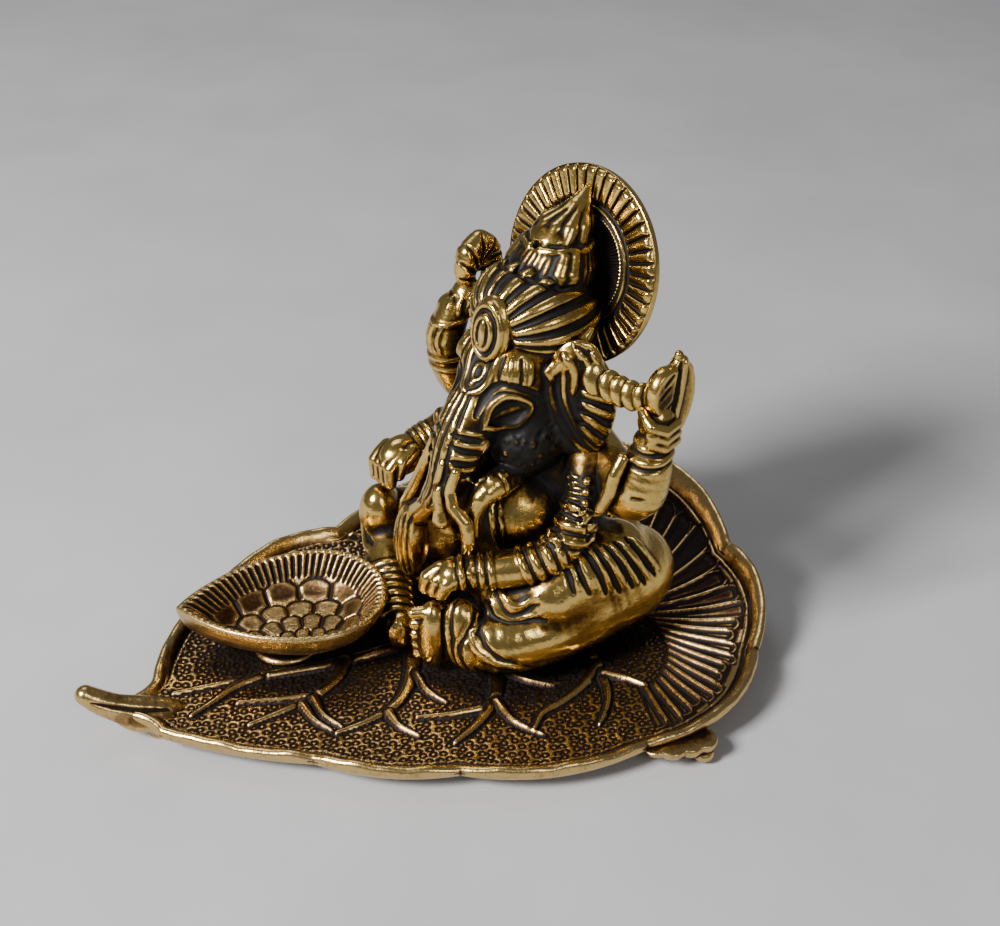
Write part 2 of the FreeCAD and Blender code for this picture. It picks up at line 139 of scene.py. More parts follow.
class Clay:
    """A solid kept as distances in mm on a grid. Below zero is inside."""

    FAR = 9.0
    SKIN = 2.5    # how far outside a surface its distances are kept

    def __init__(self, low, high, step):
        self.step = step * COARSEN
        self.low = np.array(low, float)
        self.size = np.ceil((np.array(high, float) - self.low) / self.step).astype(int) + 1
        self.field = np.full(self.size, self.FAR, np.float32)
        self.stains_and_shade = []

    def block(self, low, high):
        """Slices of the grid inside a box, and the coordinates of its points along each axis."""
        first = np.clip(np.floor((np.asarray(low) - self.low) / self.step).astype(int), 0, self.size - 1)
        last = np.clip(np.ceil((np.asarray(high) - self.low) / self.step).astype(int) + 1, 1, self.size)
        last = np.maximum(last, first + 1)
        slices = tuple(slice(a, b) for a, b in zip(first, last))
        x, y, z = (np.arange(a, b, dtype=np.float32) * self.step + low
                   for a, b, low in zip(first, last, self.low))
        return slices, x[:, None, None], y[None, :, None], z[None, None, :]

    def add(self, slices, distance, blend):
        """Join a shape to the solid, with a fillet of about this size where they meet."""
        here = self.field[slices]
        overlap = np.maximum(blend - np.abs(here - distance), 0)
        self.field[slices] = np.minimum(here, distance) - overlap ** 2 / (4 * blend)

    def ball_distance(self, centre, radii, turn):
        """About how far points are from a ball with three radii along turned axes."""
        reach = max(radii) + self.SKIN
        slices, x, y, z = self.block(np.subtract(centre, reach), np.add(centre, reach))
        x, y, z = x - centre[0], y - centre[1], z - centre[2]
        u, v, w = (turn[0][i] * x + turn[1][i] * y + turn[2][i] * z for i in range(3))
        near = np.sqrt((u / radii[0]) ** 2 + (v / radii[1]) ** 2 + (w / radii[2]) ** 2) + 1e-6
        steep = np.sqrt((u / radii[0] ** 2) ** 2 + (v / radii[1] ** 2) ** 2 + (w / radii[2] ** 2) ** 2) + 1e-6
        return slices, near * (near - 1) / steep

    def ball(self, centre, radii, blend=1.5, turn=np.eye(3)):
        slices, distance = self.ball_distance(centre, radii, turn)
        self.add(slices, distance, blend)

    def scoop(self, centre, radii):
        """Take a ball out, and round the edge it leaves."""
        slices, distance = self.ball_distance(centre, radii, np.eye(3))
        here = self.field[slices]
        overlap = np.maximum(1.0 - np.abs(here + distance), 0)
        self.field[slices] = np.maximum(here, -distance) + overlap ** 2 / 4

    def path_distance(self, path, as_share):
        """Distance from a tapering path of x, y, z and radius, or that distance as a share of the radius."""
        skin = 0.0 if as_share else self.SKIN
        room = path[:, 3].max() + skin + self.step
        whole = self.block((path[:, :3] - room).min(0), (path[:, :3] + room).max(0))[0]
        start = [s.start for s in whole]
        result = np.full([s.stop - s.start for s in whole], self.FAR, np.float32)
        for (ax, ay, az, ar), (bx, by, bz, br) in zip(path, path[1:]):
            pad = max(ar, br) + skin
            slices, x, y, z = self.block(np.minimum((ax, ay, az), (bx, by, bz)) - pad,
                                         np.maximum((ax, ay, az), (bx, by, bz)) + pad)
            dx, dy, dz = bx - ax, by - ay, bz - az
            length = dx * dx + dy * dy + dz * dz + 1e-9
            t = np.clip(((x - ax) * dx + (y - ay) * dy + (z - az) * dz) / length, 0, 1)
            away = np.sqrt((x - ax - t * dx) ** 2 + (y - ay - t * dy) ** 2 + (z - az - t * dz) ** 2)
            radius = ar + t * (br - ar)
            local = tuple(slice(s.start - o, s.stop - o) for s, o in zip(slices, start))
            value = away / radius if as_share else away - radius
            result[local] = np.minimum(result[local], value)
        return whole, result

    def limb(self, stations, blend=1.5):
        """A rounded limb through stations of x, y, z and radius."""
        slices, distance = self.path_distance(smooth_path(stations, 2.0), False)
        self.add(slices, distance, blend)

    def cut(self, point, ahead):
        """Cut everything off behind the plane through a point, square to a direction."""
        x, y, z = ((at - low - np.arange(count, dtype=np.float32) * self.step) * way
                   for at, low, count, way in zip(point, self.low, self.size, ahead))
        self.field = np.maximum(self.field, x[:, None, None] + y[None, :, None] + z[None, None, :])

    def at(self, points):
        """Distances at points, between grid values."""
        spot = np.clip((points - self.low) / self.step, 0, self.size - 1.001)
        cell = np.minimum(spot.astype(int), self.size - 2)
        t = spot - cell
        total = np.zeros(len(points))
        for i in (0, 1):
            for j in (0, 1):
                for k in (0, 1):
                    weight = (np.abs(1 - i - t[:, 0]) * np.abs(1 - j - t[:, 1]) * np.abs(1 - k - t[:, 2]))
                    total += weight * self.field[cell[:, 0] + i, cell[:, 1] + j, cell[:, 2] + k]
        return total

    def snapped(self, points):
        """Points moved onto the surface, the shortest way."""
        points = np.array(points, float)
        half = 1.5 * self.step
        for _ in range(8):
            away = np.clip(self.at(points), -1.5, 1.5)
            slope = np.stack([self.at(points + half * axis) - self.at(points - half * axis)
                              for axis in np.eye(3)], -1)
            slope /= np.linalg.norm(slope, axis=1, keepdims=True) + 1e-6
            points -= away[:, None] * slope
        return points

    def line(self, points, width, height, taper=0.35):
        """A raised line on the surface near these points, or a groove where height is below zero."""
        route = self.snapped(smooth_path(points, 0.7))
        t = np.linspace(0, 1, len(route))
        share = np.clip(np.minimum(t, 1 - t) / max(taper, 1e-3), 0.0, 1)
        radius = width * (0.45 + 0.55 * np.sqrt(share)) if taper else np.full(len(route), float(width))
        slices, share = self.path_distance(np.column_stack([route, radius]), True)
        swell = np.clip(1 - share ** 2, 0, 1) ** 2
        self.field[slices] -= height * swell

    def ring(self, centre, axis, radius, width, height, tall=1.0):
        """A raised or sunk band all the way round a limb, or round an oval this much taller than wide."""
        axis = np.array(axis, float) / np.linalg.norm(axis)
        side = np.cross(axis, (0.02, 0.01, 1.0))
        side /= np.linalg.norm(side)
        other = np.cross(side, axis) * tall
        angles = np.linspace(0, 2 * math.pi, 25)[:, None]
        circle = np.array(centre) + radius * (np.cos(angles) * side + np.sin(angles) * other)
        self.line(circle, width, height, taper=0)

    def dots(self, points, radius, height):
        """Small round beads or dimples on the surface."""
        for spot in self.snapped(points):
            path = np.array([[*spot, radius], [*(spot + 0.01), radius]])
            slices, share = self.path_distance(path, True)
            self.field[slices] -= height * np.clip(1 - share ** 2, 0, 1) ** 1.5

    def stain_and_shade(self, centre, radius, amount):
        """Darken, or with a negative amount polish, the patina round a point; some of these spots are painted
        shade.
        """
        self.stains_and_shade.append((centre, radius, amount))

    def surface(self):
        """Points and four-sided faces of the surface."""
        grid = openvdb.FloatGrid()
        grid.copyFromArray(self.field)
        points, quads = largest_part(*grid.convertToQuads(0.0))
        return points * self.step + self.low, quads


PIECES = []


def make_piece(name, node, material, points, faces, stains_and_shade=()):
    """A mesh from points in mm in the row frame. It stands for a CAD node and rides on the object."""
    mesh = bpy.data.meshes.new(name)
    points = np.asarray(points, np.float32)
    faces = np.asarray(faces, np.int32)
    corners = faces.shape[1]
    mesh.vertices.add(len(points))
    mesh.vertices.foreach_set("co", (points * MM).ravel())
    mesh.loops.add(faces.size)
    mesh.loops.foreach_set("vertex_index", faces.ravel())
    mesh.polygons.add(len(faces))
    mesh.polygons.foreach_set("loop_start", np.arange(0, faces.size, corners, dtype=np.int32))
    mesh.polygons.foreach_set("use_smooth", np.full(len(faces), True))
    mesh.update(calc_edges=True)
    mesh.materials.append(material)
    piece = bpy.data.objects.new(name, mesh)
    bpy.context.scene.collection.objects.link(piece)
    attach(piece, "root")
    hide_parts(node)
    PIECES.append((piece, points, list(stains_and_shade)))
    return piece


def make_clay_piece(name, clay, material, place=ON_FIGURE, node=None):
    """The clay's surface as a piece, moved from its own frame to its place."""
    points, quads = clay.surface()
    stains_and_shade = [(place.world([centre])[0], radius, amount) for centre, radius, amount in clay.stains_and_shade]
    return make_piece(name, node or name, material, place.world(points), quads, stains_and_shade)


# ---------------------------------------------------------------- patina and painted shade

def smoothed(points, edges, rounds):
    """Points averaged with their neighbours a number of times."""
    count = len(points)
    degree = np.bincount(edges.ravel(), minlength=count)[:, None] + 1e-9
    for _ in range(rounds):
        total = np.stack([np.bincount(edges[:, 0], points[edges[:, 1], axis], count)
                          + np.bincount(edges[:, 1], points[edges[:, 0], axis], count)
                          for axis in range(3)], -1)
        points = 0.5 * points + 0.5 * total / degree
    return points


def read(collection, name, width, kind):
    """One value, or this many, of every element in a mesh's collection."""
    values = np.zeros(len(collection) * width, kind)
    collection.foreach_get(name, values)
    return values.reshape(-1, width) if width > 1 else values


def painted_shade_of(points, normals, low, cells, cell):
    """Share of the sky over each point that nearby metal hides, which darkens the colour as painted shade."""
    count = 16
    turn = np.arange(count) * math.pi * (3 - math.sqrt(5))
    level = 1 - 2 * (np.arange(count) + 0.5) / count
    flat = np.sqrt(1 - level ** 2)
    ways = np.stack([np.cos(turn) * flat, np.sin(turn) * flat, level], -1)
    start = (points + normals * 1.6 * cell - low) / cell
    hidden = np.zeros(len(points), np.float32)
    total = np.zeros(len(points), np.float32)
    for way in ways:
        weight = np.clip(normals @ way, 0, None)
        blocked = np.zeros(len(points), bool)
        for step in range(1, 12):
            spot = np.clip((start + way * step).astype(int), 0, np.array(cells.shape) - 1)
            blocked |= cells[spot[:, 0], spot[:, 1], spot[:, 2]]
        hidden += weight * blocked
        total += weight
    return hidden / (total + 1e-6)


GRIME = 0.36           # patina of plain open metal, from 0 for bright to 1 for black
FINE_WEIGHT = 4.2      # more of it for each mm that a fine hollow is deep
BROAD_WEIGHT = 0.9     # the same for the broad hollows
PAINTED_SHADE_WEIGHT = 0.9   # and painted shade for what nearby metal hides of the sky
PLAIN_SKY_HIDDEN = 0.22   # share of the sky that plain open metal doesn't see, so it gets no painted shade


def patinate():
    """Store on every piece how dark its colour is: patina dark in hollows, bright where hands polish it, and
    painted shade where nearby metal hides the sky.
    """
    cell = 0.9
    everything = np.vstack([points for _, points, _ in PIECES])
    low = everything.min(0) - 2 * cell
    cells = np.zeros(np.ceil((everything.max(0) - low) / cell).astype(int) + 3, bool)
    spot = ((everything - low) / cell).astype(int)
    cells[spot[:, 0], spot[:, 1], spot[:, 2]] = True
    for piece, points, stains_and_shade in PIECES:
        mesh = piece.data
        edges = read(mesh.edges, "vertices", 2, np.int32)
        normals = read(mesh.vertex_normals, "vector", 3, np.float32)
        hollow = ((smoothed(points, edges, 14) - points) * normals).sum(-1)
        broad = ((smoothed(points, edges, 70) - points) * normals).sum(-1)
        painted_shade = painted_shade_of(points, normals, low, cells, cell)
        patina_and_shade = GRIME + FINE_WEIGHT * np.clip(hollow, -0.12, 0.2)
        patina_and_shade += BROAD_WEIGHT * np.clip(broad, -0.3, 0.4)
        # painted shade where nearby metal hides the sky
        patina_and_shade += PAINTED_SHADE_WEIGHT * np.clip(painted_shade - PLAIN_SKY_HIDDEN, -0.15, 0.6)
        for centre, radius, amount in stains_and_shade:
            away = np.linalg.norm(points - centre, axis=1) / radius
            patina_and_shade += amount * np.clip(1 - away ** 2, 0, 1)
        attribute = mesh.attributes.new("patina_and_shade", "FLOAT", "POINT")
        attribute.data.foreach_set("value", np.clip(patina_and_shade, 0, 1).astype(np.float32))


# ---------------------------------------------------------------- materials

def node_of(tree, kind, **values):
    """A new shader node with some of its inputs set."""
    node = tree.nodes.new(kind)
    for name, value in values.items():
        node.inputs[name].default_value = value
    return node


def noise_of(tree, space, size_mm, detail):
    """Noise whose blotches are about this large."""
    noise = node_of(tree, "ShaderNodeTexNoise", Scale=1 / (size_mm * MM), Detail=detail, Roughness=0.6)
    tree.links.new(space.outputs["Object"], noise.inputs["Vector"])
    return noise


def scaled(tree, value, factor, offset):
    """value * factor + offset."""
    node = node_of(tree, "ShaderNodeMath")
    node.operation = "MULTIPLY_ADD"
    node.inputs[1].default_value = factor
    node.inputs[2].default_value = offset
    tree.links.new(value, node.inputs[0])
    return node.outputs[0]


def added(tree, first, second):
    """first + second."""
    node = node_of(tree, "ShaderNodeMath")
    node.operation = "ADD"
    tree.links.new(first, node.inputs[0])
    tree.links.new(second, node.inputs[1])
    return node.outputs[0]


def ramp_of(tree, value, stops):
    """Colour ramp through stops of position and colour."""
    ramp = tree.nodes.new("ShaderNodeValToRGB")
    ramp.color_ramp.elements.remove(ramp.color_ramp.elements[1])
    for i, (position, colour) in enumerate(stops):
        element = ramp.color_ramp.elements.new(position) if i else ramp.color_ramp.elements[0]
        element.position = position
        element.color = (*colour, 1)
    tree.links.new(value, ramp.inputs["Fac"])
    return ramp.outputs["Color"]


def antique_gold(name, stops, roughness, grain):
    """Cast metal with a gold finish, whose colour follows the patina and painted shade stored on each piece.
    """
    material = bpy.data.materials.new(name)
    material.use_nodes = True
    tree = material.node_tree
    shader = tree.nodes["Principled BSDF"]
    space = tree.nodes.new("ShaderNodeTexCoord")
    patina_and_shade = tree.nodes.new("ShaderNodeAttribute")
    patina_and_shade.attribute_name = "patina_and_shade"
    cloudy = scaled(tree, noise_of(tree, space, 5.0, 3).outputs["Fac"], 0.36, -0.18)
    speckle = scaled(tree, noise_of(tree, space, 0.9, 4).outputs["Fac"], 0.44, -0.22)
    level = added(tree, added(tree, patina_and_shade.outputs["Fac"], cloudy), speckle)
    tree.links.new(ramp_of(tree, level, stops), shader.inputs["Base Color"])
    tree.links.new(scaled(tree, level, 0.42, roughness), shader.inputs["Roughness"])
    limits = {"From Min": 0.55, "From Max": 1.0, "To Min": 1.0, "To Max": 0.55}
    metal = node_of(tree, "ShaderNodeMapRange", **limits)
    tree.links.new(level, metal.inputs["Value"])
    tree.links.new(metal.outputs["Result"], shader.inputs["Metallic"])
    pits = noise_of(tree, space, 0.45, 3)
    waves = noise_of(tree, space, 3.5, 2)
    small = scaled(tree, pits.outputs["Fac"], 0.35, 0)
    large = scaled(tree, waves.outputs["Fac"], 1.6, 0)
    height = added(tree, small, large)
    bump = node_of(tree, "ShaderNodeBump", Strength=grain, Distance=0.0003)
    tree.links.new(height, bump.inputs["Height"])
    tree.links.new(bump.outputs["Normal"], shader.inputs["Normal"])
    return material


def plated_steel():
    """Zinc-plated screws and washers, with turning marks."""
    material = bpy.data.materials.new("plated_steel")
    material.use_nodes = True
    tree = material.node_tree
    shader = tree.nodes["Principled BSDF"]
    shader.inputs["Metallic"].default_value = 1.0
    space = tree.nodes.new("ShaderNodeTexCoord")
    cloudy = noise_of(tree, space, 1.5, 4).outputs["Fac"]
    stops = [(0.3, (0.62, 0.63, 0.64)), (0.7, (0.36, 0.36, 0.35))]
    tree.links.new(ramp_of(tree, cloudy, stops), shader.inputs["Base Color"])
    tree.links.new(scaled(tree, cloudy, 0.35, 0.2), shader.inputs["Roughness"])
    bump = node_of(tree, "ShaderNodeBump", Strength=0.3, Distance=0.0001)
    tree.links.new(noise_of(tree, space, 0.3, 2).outputs["Fac"], bump.inputs["Height"])
    tree.links.new(bump.outputs["Normal"], shader.inputs["Normal"])
    return material


GOLD_STOPS = [(0.0, (0.70, 0.48, 0.14)), (0.22, (0.38, 0.23, 0.05)), (0.40, (0.14, 0.075, 0.018)),
              (0.58, (0.030, 0.018, 0.008)), (0.8, (0.007, 0.006, 0.005))]
TRAY_STOPS = [(0.0, (0.62, 0.43, 0.17)), (0.20, (0.30, 0.175, 0.065)), (0.38, (0.095, 0.048, 0.024)),
              (0.58, (0.028, 0.013, 0.008)), (0.8, (0.008, 0.005, 0.004))]
FIGURE_GOLD = antique_gold("figure_gold", GOLD_STOPS, 0.17, 0.35)
TRAY_GOLD = antique_gold("tray_gold", TRAY_STOPS, 0.24, 0.45)
LAMP_GOLD = antique_gold("lamp_gold", TRAY_STOPS, 0.26, 0.5)
STEEL = plated_steel()


# ---------------------------------------------------------------- tray

TRAY_CENTRE = (8.0, -2.0)
FLOOR_Z = 4.6
SHEET = 2.0
RISE_POWER = 6

# The corners between the leaf's scallops, anticlockwise: x, y, height of the tray's edge there, and how far
# the side up to the next corner bows out
SCALLOPS = [
    (81.0, 2.9, 17.0, 7.0),
    (62.0, 50.0, 22.0, 4.5),
    (25.0, 56.2, 16.0, 4.0),
    (-15.7, 41.5, 9.5, 4.2),
    (-47.0, 27.5, 7.5, 3.2),
    (-66.5, -6.0, 6.5, -1.8),
    (-76.0, -12.6, 7.0, 0.0),
    (-76.0, -18.0, 7.0, -1.8),
    (-66.0, -25.0, 6.2, 1.2),
    (-33.5, -41.5, 6.2, 2.6),
    (-2.8, -52.6, 6.2, 4.4),
    (39.5, -55.1, 6.4, 7.0),
    (75.0, -32.4, 8.8, 4.6),
]


def leaf_outline(step):
    """The leaf's scalloped outline as closely spaced points, anticlockwise."""
    rows = []
    for (ax, ay, _, bow), (bx, by, *_) in zip(SCALLOPS, SCALLOPS[1:] + SCALLOPS[:1]):
        start, end = np.array([ax, ay]), np.array([bx, by])
        chord = np.linalg.norm(end - start)
        along = (end - start) / chord
        outward = np.array([along[1], -along[0]])
        t = np.arange(max(int(chord / step), 2)) / max(int(chord / step), 2)
        bulge = bow * (1 - (2 * t - 1) ** 2)
        rows.append(start + t[:, None] * (end - start) + bulge[:, None] * outward)
    return np.vstack(rows)


def around(points):
    """Angle and distance of points from the tray's centre."""
    away = np.asarray(points)[:, :2] - TRAY_CENTRE
    return np.arctan2(away[:, 1], away[:, 0]), np.hypot(away[:, 0], away[:, 1])


def by_angle(angles, keys, values):
    """Values between keys that go round the circle."""
    order = np.argsort(keys)
    keys, values = keys[order], values[order]
    keys = np.concatenate([[keys[-1] - 2 * math.pi], keys, [keys[0] + 2 * math.pi]])
    values = np.concatenate([[values[-1]], values, [values[0]]])
    return np.interp(angles, keys, values)


OUTLINE = leaf_outline(0.4)
OUTLINE_ANGLE, OUTLINE_REACH = around(OUTLINE)
CORNER_ANGLE, CORNER_REACH = around([corner[:2] for corner in SCALLOPS])
CORNER_REACH = CORNER_REACH + np.array([max(corner[3], 0.0) / 2 for corner in SCALLOPS])
CORNER_Z = np.array([corner[2] for corner in SCALLOPS])


def tray_height(points):
    """Height of the tray's smooth upper surface."""
    angle, distance = around(points)
    reach = by_angle(angle, CORNER_ANGLE, CORNER_REACH)
    edge_z = by_angle(angle, CORNER_ANGLE, CORNER_Z)
    return FLOOR_Z + (edge_z - FLOOR_Z) * np.minimum(distance / reach, 1.15) ** RISE_POWER


def inset_of(points):
    """About how far inside the leaf's edge points are."""
    angle, distance = around(points)
    return by_angle(angle, OUTLINE_ANGLE, OUTLINE_REACH) - distance


def to_path(points, path):
    """Distance from points to a path, and how far along it the nearest place is, from 0 to 1."""
    path = np.asarray(path, float)
    lengths = np.linalg.norm(np.diff(path, axis=0), axis=1)
    passed = np.concatenate([[0], np.cumsum(lengths)])
    best = np.full(len(points), 99.0)
    share = np.zeros(len(points))
    for a, b, length, before in zip(path, path[1:], lengths, passed):
        t = np.clip((points - a) @ (b - a) / length ** 2, 0, 1)
        away = np.linalg.norm(points - a - t[:, None] * (b - a), axis=1)
        closer = away < best
        best[closer] = away[closer]
        share[closer] = (before + t[closer] * length) / passed[-1]
    return best, share


# Veins on the leaf's floor: half width at the thick end, and points from there to the fine end
VEINS = [
    (1.5, [(0.6, -3.3), (-7.8, -5.5), (-17.5, -7.4), (-28, -8.6), (-40, -8.8), (-52, -9.6), (-62, -11)]),
    (1.1, [(-42, -9), (-48, -11.5), (-53, -15.4), (-58.7, -19.6)]),
    (1.5, [(-21.5, -8), (-24, -13.5), (-29.5, -18.5), (-36.3, -21.7), (-46, -25.4)]),
    (0.8, [(-31, -18.5), (-37, -18.4), (-43, -17.6), (-48, -17.1)]),
    (0.9, [(-33.2, -21.2), (-31.4, -27), (-27.8, -32)]),
    (0.9, [(-30.4, -19.6), (-29, -26), (-25.4, -31.2)]),
    (1.6, [(-4.5, -8), (-6, -15), (-8.4, -21), (-12.5, -26.6), (-19, -30.2), (-27, -32.8)]),
    (0.9, [(-14.4, -28.6), (-12.9, -33.6), (-9, -38.2)]),
    (0.9, [(-5.4, -17.4), (-4.2, -23.4), (-0.6, -28.6)]),
    (1.7, [(14, -14), (13.4, -21), (11.6, -27.6), (8, -33.6), (4, -38), (-1.6, -42.2)]),
    (0.9, [(6.4, -32.6), (-0.6, -32.8), (-8.4, -31.8)]),
    (1.0, [(10.8, -31), (13, -38.4), (18.4, -44.6)]),
    (0.9, [(14.6, -20.4), (19.5, -25.4), (25.4, -29)]),
    (1.3, [(36.1, -14), (36.8, -21), (37.2, -27), (36.8, -34), (34.6, -40), (31.6, -44.4)]),
    (1.4, [(36.9, -24.4), (31.4, -30.6), (25.4, -34.8), (20, -37.6), (16.6, -42.4)]),
    (1.0, [(38, -27.6), (43, -31), (48, -36.6)]),
    (0.9, [(48, -36), (53, -41), (57, -46)]),
    (1.0, [(-12, 8), (-19, 15), (-28, 20), (-38, 22)]),
    (1.0, [(-6, 14), (-10, 24), (-18, 31), (-28, 33)]),
    (1.0, [(2, 20), (0, 31), (-6, 38), (-14, 40)]),
    (1.0, [(12, 26), (12, 38), (8, 46)]),
    (0.8, [(-13, 26), (-24, 25), (-32, 27)]),
]

FAN_CENTRE = np.array([44.0, -6.0])
# Where the petals' borders leave the fan's centre, in degrees
FAN_TURNS = [-92, -86.5, -81.5, -76.5, -71.5, -66.5, -61.5, -56, -50.5, -44.5, -38, -31, -24.5, -15,
             -4, 8, 20, 33, 43, 51, 60, 71, 83, 96, 110, 125]
PETAL_INSET = 7.8     # how far inside the leaf's edge the petals end


def stamped_rings(points):
    """Little rings pressed all over the ground, in loose staggered rows."""
    pitch = 2.35
    row = np.round(points[:, 1] / (pitch * 0.87))
    offset = 0.5 * (row % 2) + 0.22 * np.sin(row * 2.3)
    column = np.round(points[:, 0] / pitch - offset)
    jitter_x = 0.28 * np.sin(row * 12.9 + column * 78.2)
    jitter_y = 0.28 * np.sin(row * 39.3 + column * 11.1)
    middle_x = (column + offset) * pitch + jitter_x
    middle_y = row * pitch * 0.87 + jitter_y
    away = np.hypot(points[:, 0] - middle_x, points[:, 1] - middle_y)
    return -0.34 * np.exp(-((away - 0.72) / 0.26) ** 2)


def fan_petals(points):
    """Relief of the fan of long petals, and where on the tray it applies."""
    away = points - FAN_CENTRE
    distance = np.hypot(away[:, 0], away[:, 1])
    angle = np.arctan2(away[:, 1], away[:, 0])
    borders = np.radians(FAN_TURNS)
    petal_of = np.clip(np.searchsorted(borders, angle) - 1, 0, len(borders) - 2)
    spread = np.diff(borders)[petal_of]
    across = np.abs((angle - borders[petal_of]) / spread - 0.5) * 2
    width = distance * spread
    room = inset_of(points) - PETAL_INSET + 1.2 * np.sin(petal_of * 1.7)
    round_end = np.sqrt(np.clip(1 - across ** 2, 0, 1)) * width * 0.5
    inside = np.clip((room + round_end) / 0.5, 0, 1)
    edge = (1 - across) * width * 0.5
    wall = np.minimum(edge, room + round_end)
    petal = 0.6 * np.exp(-((wall - 0.05) / 0.48) ** 2) - 0.35 * np.exp(-((wall - 1.1) / 0.45) ** 2)
    margin = 0.30 * np.exp(-((room + 3.4) / 0.7) ** 2)
    within = np.clip((angle - borders[0]) / 0.04, 0, 1) * np.clip((borders[-1] - angle) / 0.04, 0, 1)
    start = 9.0 + 19.0 * np.clip((-0.35 - angle) / 1.1, 0, 1)
    within *= np.clip((distance - start) / 1.2, 0, 1)
    return np.where(room > -2.5, petal * inside, 0) + margin, within


def floor_relief(points):
    """Height of the pattern over the tray's smooth surface."""
    inset = inset_of(points)
    ground = stamped_rings(points) * np.clip((inset - 3.6) / 0.6, 0, 1)
    petals, within = fan_petals(points)
    relief = ground * (1 - within) + petals * within
    for half_width, path in VEINS:
        route = smooth_path(path, 1.5)
        away, share = to_path(points, route)
        width = 1.3 * half_width * (1 - 0.72 * share)
        rise = 1.15 * np.clip(1 - (away / (1.15 * width)) ** 2, 0, 1) * (1 - 0.4 * share)
        moat = -0.35 * np.exp(-((away - width - 0.3) / 0.32) ** 2)
        cover = np.clip((width + 0.25 - away) / 0.3, 0, 1) * (1 - within)
        relief = relief * (1 - cover) + cover * rise + moat * (1 - cover) * (1 - within)
    relief += 0.35 * np.exp(-((inset - 4.4) / 0.35) ** 2) - 0.4 * np.exp(-((inset - 3.5) / 0.4) ** 2)
    return relief


def grid_faces(rows, columns, closed=False):
    """Four-sided faces of a grid of points, row by row."""
    index = np.arange(rows * columns).reshape(rows, columns)
    if closed:
        index = np.hstack([index, index[:, :1]])
    return np.stack([index[:-1, :-1], index[:-1, 1:], index[1:, 1:], index[1:, :-1]], -1).reshape(-1, 4)


# The tray's colour is darker over the fan, round the foot of the figure and along the far side
TRAY_DARKER_SPOTS = [((70, 20, 8), 44, 0.60), ((20, -22, 5), 70, 0.20), ((0, 20, 6), 70, 0.20)]


def tray_sheet(name, low, high, step, relief, drop, flip, tuck):
    """A rectangle of the tray's upper or lower surface, as far as the rolled rim."""
    xs = np.arange(low[0], high[0] + step / 2, step)
    ys = np.arange(low[1], high[1] + step / 2, step)
    grid = np.stack(np.meshgrid(xs, ys), -1).reshape(-1, 2)
    faces = grid_faces(len(ys), len(xs))
    z = tray_height(grid) - drop
    keep = inset_of(grid) > tuck
    z[keep] += relief(grid[keep])
    points, faces = kept(np.column_stack([grid, z]), faces, keep)
    if flip:
        faces = faces[:, ::-1]
    return make_piece(name, "leaf_plate", TRAY_GOLD, points, faces, TRAY_DARKER_SPOTS)


def make_tray():
    """The leaf's upper surface in three pieces, and its underside."""
    step = 0.34 * COARSEN
    parts = [("leaf_tip_end", -84, -20), ("leaf_middle", -20, 34), ("leaf_fan", 34, 86)]
    for name, west, east in parts:
        east = west + math.ceil((east - west) / step) * step
        tray_sheet(name, (west, -62), (east, 62), step, floor_relief, 0.0, False, 1.5)
    tray_sheet("leaf_underside", (-84, -62), (86, 62), 1.2, hammered, SHEET, True, 1.0)


def hammered(points):
    """The soft unevenness of the casting's underside."""
    return 0.12 * np.sin(points[:, 0] * 0.9 + np.sin(points[:, 1] * 0.7)) * np.sin(points[:, 1] * 0.8)


# The rolled rim's section: how far inside the leaf's edge, and how high over the tray's surface
RIM_SECTION = [(3.6, -0.5), (3.1, 0.25), (2.75, 0.75), (2.3, 1.25), (1.8, 1.6), (1.2, 1.75), (0.6, 1.6),
               (0.15, 1.2), (-0.1, 0.6), (-0.15, 0.0), (0.0, -0.7), (0.35, -1.3), (1.0, -1.8), (2.0, -2.1)]


def make_rim():
    """The rolled rim, a strip all the way round the leaf."""
    outline = leaf_outline(0.5)
    count = len(outline)
    along = np.roll(outline, -5, 0) - np.roll(outline, 5, 0)
    along /= np.linalg.norm(along, axis=1, keepdims=True)
    inward = np.column_stack([-along[:, 1], along[:, 0]])
    corners = np.array([corner[:2] for corner in SCALLOPS])
    to_corner = np.min(np.linalg.norm(outline[:, None] - corners[None], axis=2), axis=1)
    pinch = np.exp(-(to_corner / 2.2) ** 2)
    t = np.arange(count)
    uneven = 0.14 * np.sin(t * 0.071) + 0.1 * np.sin(t * 0.193 + 1.3) + 0.06 * np.sin(t * 0.41)
    section = smooth_path(RIM_SECTION, 0.28)
    rows = []
    for inset, rise in section:
        spot = outline + inward * inset
        base = tray_height(outline + inward * max(inset, 0.0))
        lift = rise * (1 + uneven * (rise > 0)) - 0.45 * pinch * (rise > 0.3)
        rows.append(np.column_stack([spot, base + lift]))
    points = np.vstack(rows)
    faces = grid_faces(len(rows), count, True)[:, ::-1]
    make_piece("leaf_rim", "leaf_plate", TRAY_GOLD, points, faces)


def make_tip():
    """The leaf's rolled tip, a curled tube that opens out into the leaf."""
    clay = Clay((-88, -26, 0), (-52, -4, 19), 0.3)
    clay.limb([(-57, -14.6, 3.4, 0.8), (-64, -15.4, 5.2, 2.3), (-70, -15.6, 6.4, 3.4),
               (-75, -15.4, 8.0, 3.2), (-79, -15, 10.6, 2.8), (-81.2, -14.7, 12.4, 2.4)])
    clay.ball((-68, -15.5, 4.6), (6.5, 5.5, 2.6), 2.5)
    clay.line([(-62, -12.6, 8), (-70, -12.4, 10), (-77, -12.4, 12), (-81, -12.6, 14)], 1.0, -0.7)
    clay.line([(-63, -18.6, 8), (-70, -18.8, 9), (-77, -18, 11), (-80, -17.4, 12)], 0.9, -0.5)
    clay.stain_and_shade((-70, -15, 8), 14, 0.22)
    make_clay_piece("leaf_rolled_tip", clay, TRAY_GOLD, ON_ROW, "leaf_plate")


